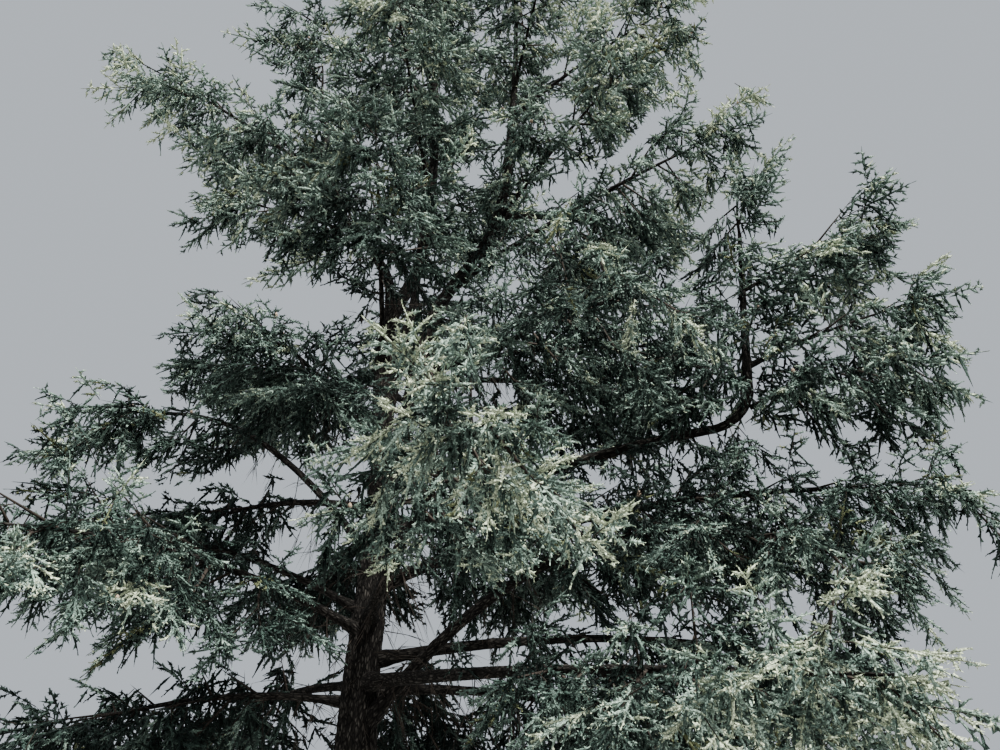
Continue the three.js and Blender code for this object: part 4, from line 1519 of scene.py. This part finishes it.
@dataclass
class Limb:
    """One limb with relief: its axis, radii and rings."""

    axis: Array
    radii: Array
    sides: int
    relief: BarkRelief
    level: bool = False
    flare: bool = False

    RELIEF_LEAST, MERGE = 0.2, 1e-5

    def shape(self) -> bmesh.types.BMesh:
        """Wraps a grid round the axis, closes it and gives it its bark relief.

        Returns:
            The bmesh, with the grain and ridge layers that the bark's material reads.
        """
        rings = len(self.radii)
        bm = bmesh.new()
        bmesh.ops.create_grid(bm, x_segments=self.sides, y_segments=rings - 1, size=0.5)
        bm.verts.ensure_lookup_table()
        flat = np.array([vertex.co for vertex in bm.verts])
        turn = np.round((flat[:, 0] + 0.5) * self.sides) / self.sides * 2 * math.pi
        ring = np.clip(np.round((flat[:, 1] + 0.5) * (rings - 1)).astype(int), 0, rings - 1)
        tangent = unit(np.gradient(self.axis, axis=0))
        if self.level:
            side, normal = np.tile([1.0, 0, 0], (rings, 1)), np.tile([0, 1.0, 0], (rings, 1))
        else:
            side = unit(np.cross(UP, tangent))
            normal = np.cross(tangent, side)
        along = np.concatenate([[0], np.cumsum(np.linalg.norm(np.diff(self.axis, axis=0), axis=1))])
        radius = self.radii[ring]
        if self.flare:
            rib = 1 + FLARE_DEPTH * np.cos(FLARE_RIBS * turn)
            radius = radius + FLARE_SPREAD * rib * np.exp(-self.axis[ring, 2] / FLARE_FADE)
        c, s = np.cos(turn), np.sin(turn)
        grain = np.column_stack([c * radius, s * radius, along[ring]])
        heights, ridges = self.relief.rise(grain)
        radius = radius + heights * np.minimum(1.0, radius / self.radii[0] + self.RELIEF_LEAST)
        places = self.axis[ring] + (side[ring] * c[:, None] + normal[ring] * s[:, None]) * radius[:, None]
        layer, height = bm.verts.layers.float_vector.new("grain"), bm.verts.layers.float.new("ridge")
        for vertex, place, own, ridge in zip(bm.verts, places, grain, ridges):
            vertex.co = place
            vertex[layer], vertex[height] = own, ridge
        bmesh.ops.remove_doubles(bm, verts=bm.verts, dist=self.MERGE)
        bmesh.ops.holes_fill(bm, edges=[edge for edge in bm.edges if edge.is_boundary], sides=0)
        bmesh.ops.recalc_face_normals(bm, faces=bm.faces)
        return bm


def joined(name: str, limbs: list[Limb], material: Material) -> Piece:
    """One piece of several limbs.

    Args:
        name: The piece's name.
        limbs: Its limbs.
        material: Its bark.

    Returns:
        The object, linked to the scene.
    """
    whole = bmesh.new()
    whole.verts.layers.float_vector.new("grain")
    whole.verts.layers.float.new("ridge")
    for limb in limbs:
        part = limb.shape()
        carrier = bpy.data.meshes.new("part")
        part.to_mesh(carrier)
        part.free()
        whole.from_mesh(carrier)
        bpy.data.meshes.remove(carrier)
    for face in whole.faces:
        face.smooth = True
    return from_bmesh(name, whole, material)


def dress(piece: Piece, nodes: list[str]) -> None:
    """Rides a piece on the tree in place of its nodes and reports it.

    Args:
        piece: The piece.
        nodes: The CAD nodes that it stands for, if any.
    """
    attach(piece, BODY)
    if nodes:
        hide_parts(*nodes)
    LOG.info("%s: %d faces", piece.name, len(piece.data.polygons))


@dataclass
class Limbs:
    """The trunk, leaders, riser, arm and boughs in their bark."""

    masses: list[Mass]
    bark: Material
    trunk_relief: BarkRelief = BarkRelief(plate=0.065, stretch=3.3, depth=0.028, lump=0.024)
    leader_relief: BarkRelief = BarkRelief(plate=0.055, stretch=3.2, depth=0.014, lump=0.013)
    bough_relief: BarkRelief = BarkRelief(plate=0.04, stretch=3.0, depth=0.009, lump=0.009)
    trunk_sides: int = 196
    stem_sides: int = 48
    trunk_ring: float = 0.05
    stem_ring: float = 0.06

    # The riser's bend: its height over the arm's end, its start and middle on the arm, its rings, and its
    # foot's share of the arm's radius
    BEND_HEIGHT, BEND_START, BEND_MIDDLE, BEND_RINGS, BEND_SLIM = 0.55, 0.9, 0.985, 24, 0.97
    ARM_END, ARM_RINGS, ARM_SIDES = 0.92, 130, 32
    # Boughs and stems: where they end, their collar, and the spacing of rings and the sides of each kind
    BOUGH_END, COLLAR, COLLAR_WIDTH, LEAST_RINGS = STEM_END + 0.02, 0.45, 0.22, 12
    BOUGH_RINGS, TWIG_RINGS = (0.05, 28), (0.1, 12)

    def stem(self, name: str) -> Limb:
        """One stem, its rings level as the source's are.

        Args:
            name: The stem's name.

        Returns:
            The limb.
        """
        foot, tip = STEMS[name][0][0], STEMS[name][-1][0]
        trunk, riser = name == "trunk", name == "right_riser"
        rings = int((tip - foot) / (self.trunk_ring if trunk else self.stem_ring))
        axis, radii = stem_at(name, np.linspace(foot, tip, rings))
        if riser:
            axis, radii = self.elbow(axis, radii)
        return Limb(axis, radii, self.trunk_sides if trunk else self.stem_sides,
                    self.trunk_relief if trunk else self.leader_relief, level=not riser, flare=trunk)

    def elbow(self, axis: Array, radii: Array) -> Pair:
        """Turns the riser's foot towards the arm that carries it, on a round bend.

        Args:
            axis: The riser's axis points.
            radii: Their radii.

        Returns:
            The bent axis and its radii.
        """
        above = axis[:, 2] > ARM_LINE.point(1.0)[2] + self.BEND_HEIGHT
        end, start, middle = axis[above][0], ARM_LINE.point(self.BEND_START), ARM_LINE.point(self.BEND_MIDDLE)
        t = np.linspace(0, 1, self.BEND_RINGS)[:-1, None]
        curve = start * (1 - t) ** 2 + middle * 2 * t * (1 - t) + end * t * t
        bend_radii = lerp(lerp(*ARM_RADII, self.BEND_START) * self.BEND_SLIM, radii[above][0], t[:, 0])
        return np.vstack([curve, axis[above]]), np.concatenate([bend_radii, radii[above]])

    def arm(self) -> Limb:
        """The bough that carries the right riser, up to the bend."""
        s = np.linspace(0, self.ARM_END, self.ARM_RINGS)
        return Limb(ARM_LINE.point(s), lerp(*ARM_RADII, s), self.ARM_SIDES, self.leader_relief)

    def bough(self, mass: Mass) -> Limb:
        """The whole stem of a mass, from inside its host to its tip, with a collar at the host.

        Args:
            mass: The mass.

        Returns:
            The limb.
        """
        length = float(np.linalg.norm(mass.line.point(self.BOUGH_END) - mass.line.point(0.0)))
        spacing, sides = self.BOUGH_RINGS if mass.limb else self.TWIG_RINGS
        s = np.linspace(0, self.BOUGH_END, max(self.LEAST_RINGS, int(length / spacing)))
        radii = mass.radius_at(s)
        if not mass.spire:
            host = stem_at(mass.host, mass.line.start[2])[1][0]
            radii = radii * (1 + self.COLLAR * np.exp(-(((s * length - host) / self.COLLAR_WIDTH) ** 2)))
        return Limb(mass.line.point(s), radii, sides, self.bough_relief)

    def build(self) -> None:
        """Builds each stem, the arm and each bough that has a node of its own as a piece."""
        limbs = {name: self.stem(name) for name in STEMS}
        limbs["right_arm"] = self.arm()
        limbs.update({f"{mass.name}_bough": self.bough(mass) for mass in self.masses if mass.limb})
        for name, limb in limbs.items():
            dress(joined(f"{name}_bark", [limb], self.bark), [name])


@dataclass
class Foliage:
    """The crown's twigs and needled shoots, joined by storey and side."""

    masses: list[Mass]
    storeys: tuple[tuple[str, float], ...] = (("low", 5.5), ("middle", 8.9), ("upper", 12.5), ("high", 17.0),
                                              ("top", 99.0))
    back_from: float = 0.2
    right_from: float = 1.2
    bare_length: float = 0.44
    # the hanging curtains are moved down the scale of tints: painted shade below the sprays
    curtain_painted_shade: float = 0.5
    finger: NeedleBrush = NeedleBrush(teeth=8, spread=0.062, width=0.145, forward=0.09, core=0.029)
    tuft: NeedleBrush = NeedleBrush(teeth=5, spread=0.058, width=0.26, forward=0.17, core=0.027)
    curtain: NeedleBrush = NeedleBrush(teeth=6, spread=0.066, width=0.19, forward=0.1, core=0.028)

    # How the score of a shoot's tint grows with its reach, height and place in the sun, and its chance:
    # outer, high and sunny front shoots come out paler as painted sunlight, inner and back ones darker as
    # painted shade
    CENTRE_X, REACH, HIGH_MOST, LOW_HEIGHT, LOW_GAIN = 1, 9, 0.4, 7, 2
    AWAY, HIGH, SUNNY, BASE, MOST_SPRAYS = 0.85, 2.45, 0.64, 0.68, 6000
    SPRAY_CHANCE, SHOOT_CHANCE, OLIVE_SPRAY, OLIVE_SHARE = 0.36, 0.25, 1.7, 0.35
    WOOD_RINGS, AXIS_RINGS, BRANCHLET_RINGS = (0.05, 0.5), (0.03, 0.5), (0.12,)

    def group_of(self, mass: Mass) -> str:
        """The joined piece that a mass belongs to.

        Args:
            mass: The mass.

        Returns:
            The storey and side that name the piece.
        """
        x, y, z = mass.space()[0]
        storey = next(name for name, below in self.storeys if z < below)
        side = "back" if y > self.back_from else "left" if x < self.right_from else "right"
        return f"{storey}_{side}"

    def tints(self, shoots: Twigs, rng: np.random.Generator, darker: float) -> Array:
        """Deals a tint to each shoot by its spray, height and reach, with a little chance: paler where the
        crown meets the sun, as painted light, and darker inside it, as painted shade.

        Args:
            shoots: The shoots.
            rng: The seeded generator.
            darker: How far down the scale of tints they are moved, as painted shade.

        Returns:
            The tint of each shoot.
        """
        x, y, z = shoots.root.T
        away = np.hypot(x - self.CENTRE_X, y) / self.REACH
        high = np.minimum((z / TREE_HEIGHT) ** 2, self.HIGH_MOST)
        low = np.clip(1 - z / self.LOW_HEIGHT, 0, 1)
        sunny = np.clip(-y / self.REACH, 0, 1) ** 2 * (1 + self.LOW_GAIN * low)
        draw = np.random.default_rng(TINT_SEED).normal(size=(2, self.MOST_SPRAYS))[:, shoots.spray]
        chance = self.SPRAY_CHANCE * draw[0] + self.SHOOT_CHANCE * rng.normal(size=len(shoots))
        # reach, height and the sunny front paint light and shade into the tint; the chance terms are the
        # needles' own random tone
        score = self.AWAY * away + self.HIGH * high + self.SUNNY * sunny + chance - self.BASE - darker
        passed = [score > least for least in TINT_SCORES.values()]
        tint = np.select(passed, [tint.value for tint in TINT_SCORES], Tint.DEEP.value)
        olive = (draw[1] > self.OLIVE_SPRAY) & (rng.random(len(shoots)) < self.OLIVE_SHARE - darker)
        return np.where(olive, Tint.OLIVE.value, tint)

    def build(self, crown: Crown, limbs: Limbs, needles: list[Material], twig_bark: Material) -> None:
        """Builds the joined pieces.

        Args:
            crown: What grows in the crown.
            limbs: Makes the stems inside the masses.
            needles: The needles' materials in the order of the tints.
            twig_bark: The twigs' bark.
        """
        LOG.info("%d sprays, %d fingers, %d tufts, %d curtains", len(crown.axes), len(crown.fingers),
                 len(crown.tufts), len(crown.curtains))
        fineness = np.array([mass.fineness for mass in self.masses])
        longer = crown.branchlets.keep(crown.branchlets.length > self.bare_length)
        woods = (crown.wood, self.WOOD_RINGS), (crown.axes, self.AXIS_RINGS), (longer, self.BRANCHLET_RINGS)
        kinds = ((crown.fingers, self.finger, 0.0), (crown.tufts, self.tuft, 0.0),
                 (crown.curtains, self.curtain, self.curtain_painted_shade))
        rng = np.random.default_rng(NEEDLE_SEED)
        groups = [self.group_of(mass) for mass in self.masses]
        for group in sorted(set(groups)):
            chosen = np.array([own == group for own in groups])
            members = [mass for mass, own in zip(self.masses, groups) if own == group]
            nodes = [mass.node for mass in members]
            stems = [limbs.bough(mass) for mass in members if not mass.limb]
            if stems:
                dress(joined(f"stems_{group}", stems, limbs.bark), nodes)
            parts = [spindles(twigs.keep(chosen[twigs.mass]), rings) for twigs, rings in woods]
            dress(mesh_object(f"twigs_{group}", *stacked(parts), [twig_bark]), nodes)
            parts, slots = [], []
            for shoots, brush, darker in kinds:
                own = shoots.keep(chosen[shoots.mass])
                near = fineness[own.mass] < 1
                for part, chosen_brush in ((own.keep(~near), brush), (own.keep(near), brush.closer())):
                    if len(part):
                        parts.append(chosen_brush.build(part, fineness, rng))
                        slots.append(chosen_brush.tints(self.tints(part, rng, darker)))
            piece = mesh_object(f"needles_{group}", *stacked(parts), needles, np.concatenate(slots))
            dress(piece, nodes)


@dataclass(frozen=True)
class Cones:
    """The few upright egg-shaped cones on the upper sides of the sprays, as one piece."""

    count: int = 90
    half_height: float = 0.045
    radius: float = 0.029
    sides: int = 9
    rings: int = 7
    lowest: float = 4.5
    size: Linear = Linear(0.8, 0.4)

    FOOT, LEVEL, LEAST_LENGTH, LIFT = 0.35, 32, 0.6, 0.9
    SCALE_DEPTH, SCALE_TURNS, NARROWING = 0.09, 19, 0.16

    def build(self, axes: Twigs, material: Material) -> None:
        """Stands the cones on chosen sprays.

        Args:
            axes: The spray axes.
            material: The cones' finish.
        """
        rng = np.random.default_rng(CONE_SEED)
        feet = axes.point(self.FOOT)
        level = (np.abs(axes.pitch) < self.LEVEL) & (axes.length > self.LEAST_LENGTH)
        chosen = rng.choice(np.flatnonzero(level & (feet[:, 2] > self.lowest)), self.count, replace=False)
        bm = bmesh.new()
        for foot in feet[chosen]:
            size = self.size(rng.random())
            centre = Vector(foot) + Vector((0, 0, self.half_height * size * self.LIFT))
            cone = bmesh.ops.create_uvsphere(bm, u_segments=self.sides, v_segments=self.rings, radius=1.0)
            for vertex in cone["verts"]:
                x, y, z = vertex.co
                scale = 1 + self.SCALE_DEPTH * math.sin(self.SCALE_TURNS * z) - self.NARROWING * z
                vertex.co = Vector((x * self.radius * scale, y * self.radius * scale,
                                    z * self.half_height)) * size + centre
        dress(from_bmesh("cones", bm, material), [])


@dataclass(frozen=True)
class Studio:
    """The plain floor, the soft light and the camera at the photo's angle."""

    photo_width: float = 1000.0
    focal_pixels: float = 896.0
    tilt: float = 29.4
    roll: float = -2.7
    eye: tuple[float, float, float] = (2.684, -16.0, 1.6)
    sensor: float = 36.0
    far: float = 2000.0
    sky: Colour = (0.80, 0.87, 0.95)
    sky_strength: float = 0.7
    sun: Colour = (1.0, 0.97, 0.92)
    sun_strength: float = 15.0
    sun_spread: float = 9
    sun_from: tuple[float, float, float] = (0.36, -0.5, 0.84)
    floor_radius: float = 600
    floor_sides: int = 128
    floor_tone: Colour = (0.3, 0.3, 0.29)
    floor_roughness: float = 0.9

    def camera(self) -> None:
        """Sets the camera where the photo was taken from."""
        data = bpy.data.cameras.new("camera")
        data.sensor_width = self.sensor
        data.lens = data.sensor_width * self.focal_pixels / self.photo_width
        data.clip_end = self.far
        tilt, roll = math.radians(self.tilt), math.radians(self.roll)
        ahead = Vector((0, math.cos(tilt), math.sin(tilt)))
        level, raised = Vector((1, 0, 0)), Vector((0, -math.sin(tilt), math.cos(tilt)))
        right = level * math.cos(roll) + raised * math.sin(roll)
        above = raised * math.cos(roll) - level * math.sin(roll)
        turn = Matrix((right, above, -ahead)).transposed().to_4x4()
        camera = linked("camera", data)
        camera.matrix_world = Matrix.Translation(self.eye) @ turn
        bpy.context.scene.camera = camera

    def light(self) -> None:
        """Adds a soft key light from the front right and a pale surround."""
        world = bpy.data.worlds.new("surround")
        world.use_nodes = True
        background = world.node_tree.nodes["Background"]
        background.inputs["Color"].default_value = (*self.sky, 1)
        background.inputs["Strength"].default_value = self.sky_strength
        bpy.context.scene.world = world
        key = bpy.data.lights.new("key", "SUN")
        key.energy, key.angle, key.color = self.sun_strength, math.radians(self.sun_spread), self.sun
        lamp = linked("key", key)
        lamp.rotation_mode = "QUATERNION"
        lamp.rotation_quaternion = Vector(self.sun_from).to_track_quat("Z", "Y")

    def floor(self) -> None:
        """Lays a plain pale floor."""
        bm = bmesh.new()
        bmesh.ops.create_circle(bm, cap_ends=True, segments=self.floor_sides, radius=self.floor_radius)
        material, nodes = principled("pale_floor", self.floor_roughness)
        nodes.tree.nodes["Principled BSDF"].inputs["Base Color"].default_value = (*self.floor_tone, 1)
        from_bmesh("floor", bm, material)


def main() -> None:
    """Builds the cedar and its studio."""
    logging.basicConfig(level=logging.INFO, format="%(message)s")
    noise.seed_set(BARK_SEED)
    mottle, whorls = mottle_group(), whorl_group()
    # all three bark tones are set far darker than real bark, as painted shade of the crown on the trunk and
    # boughs
    bark = BarkFinish("cedar_bark", crack=(0.001, 0.0009, 0.0008), plate=(0.012, 0.0108, 0.0096),
                      crest=(0.085, 0.078, 0.07))
    twig_bark = Finish("twig_bark", dark=(0.01, 0.008, 0.0065), light=(0.042, 0.034, 0.028), roughness=0.9,
                       patches=3.0, specks=40.0)
    cone = Finish("cone", dark=(0.16, 0.11, 0.075), light=(0.42, 0.33, 0.25), roughness=0.8, patches=12.0,
                  specks=70.0, relief=0.004)
    needles = [NeedleFinish(f"needles_{tint.name.lower()}", colour).material(whorls)
               for tint, colour in TINT_COLOURS.items()]
    masses = plan_masses()
    limbs = Limbs(masses, bark.material(mottle))
    limbs.build()
    crown = Growth(masses).grow()
    Foliage(masses).build(crown, limbs, needles, twig_bark.material(mottle))
    Cones().build(crown.axes, cone.material(mottle))
    studio = Studio()
    studio.floor()
    studio.light()
    studio.camera()


if __name__ == "__main__":
    main()
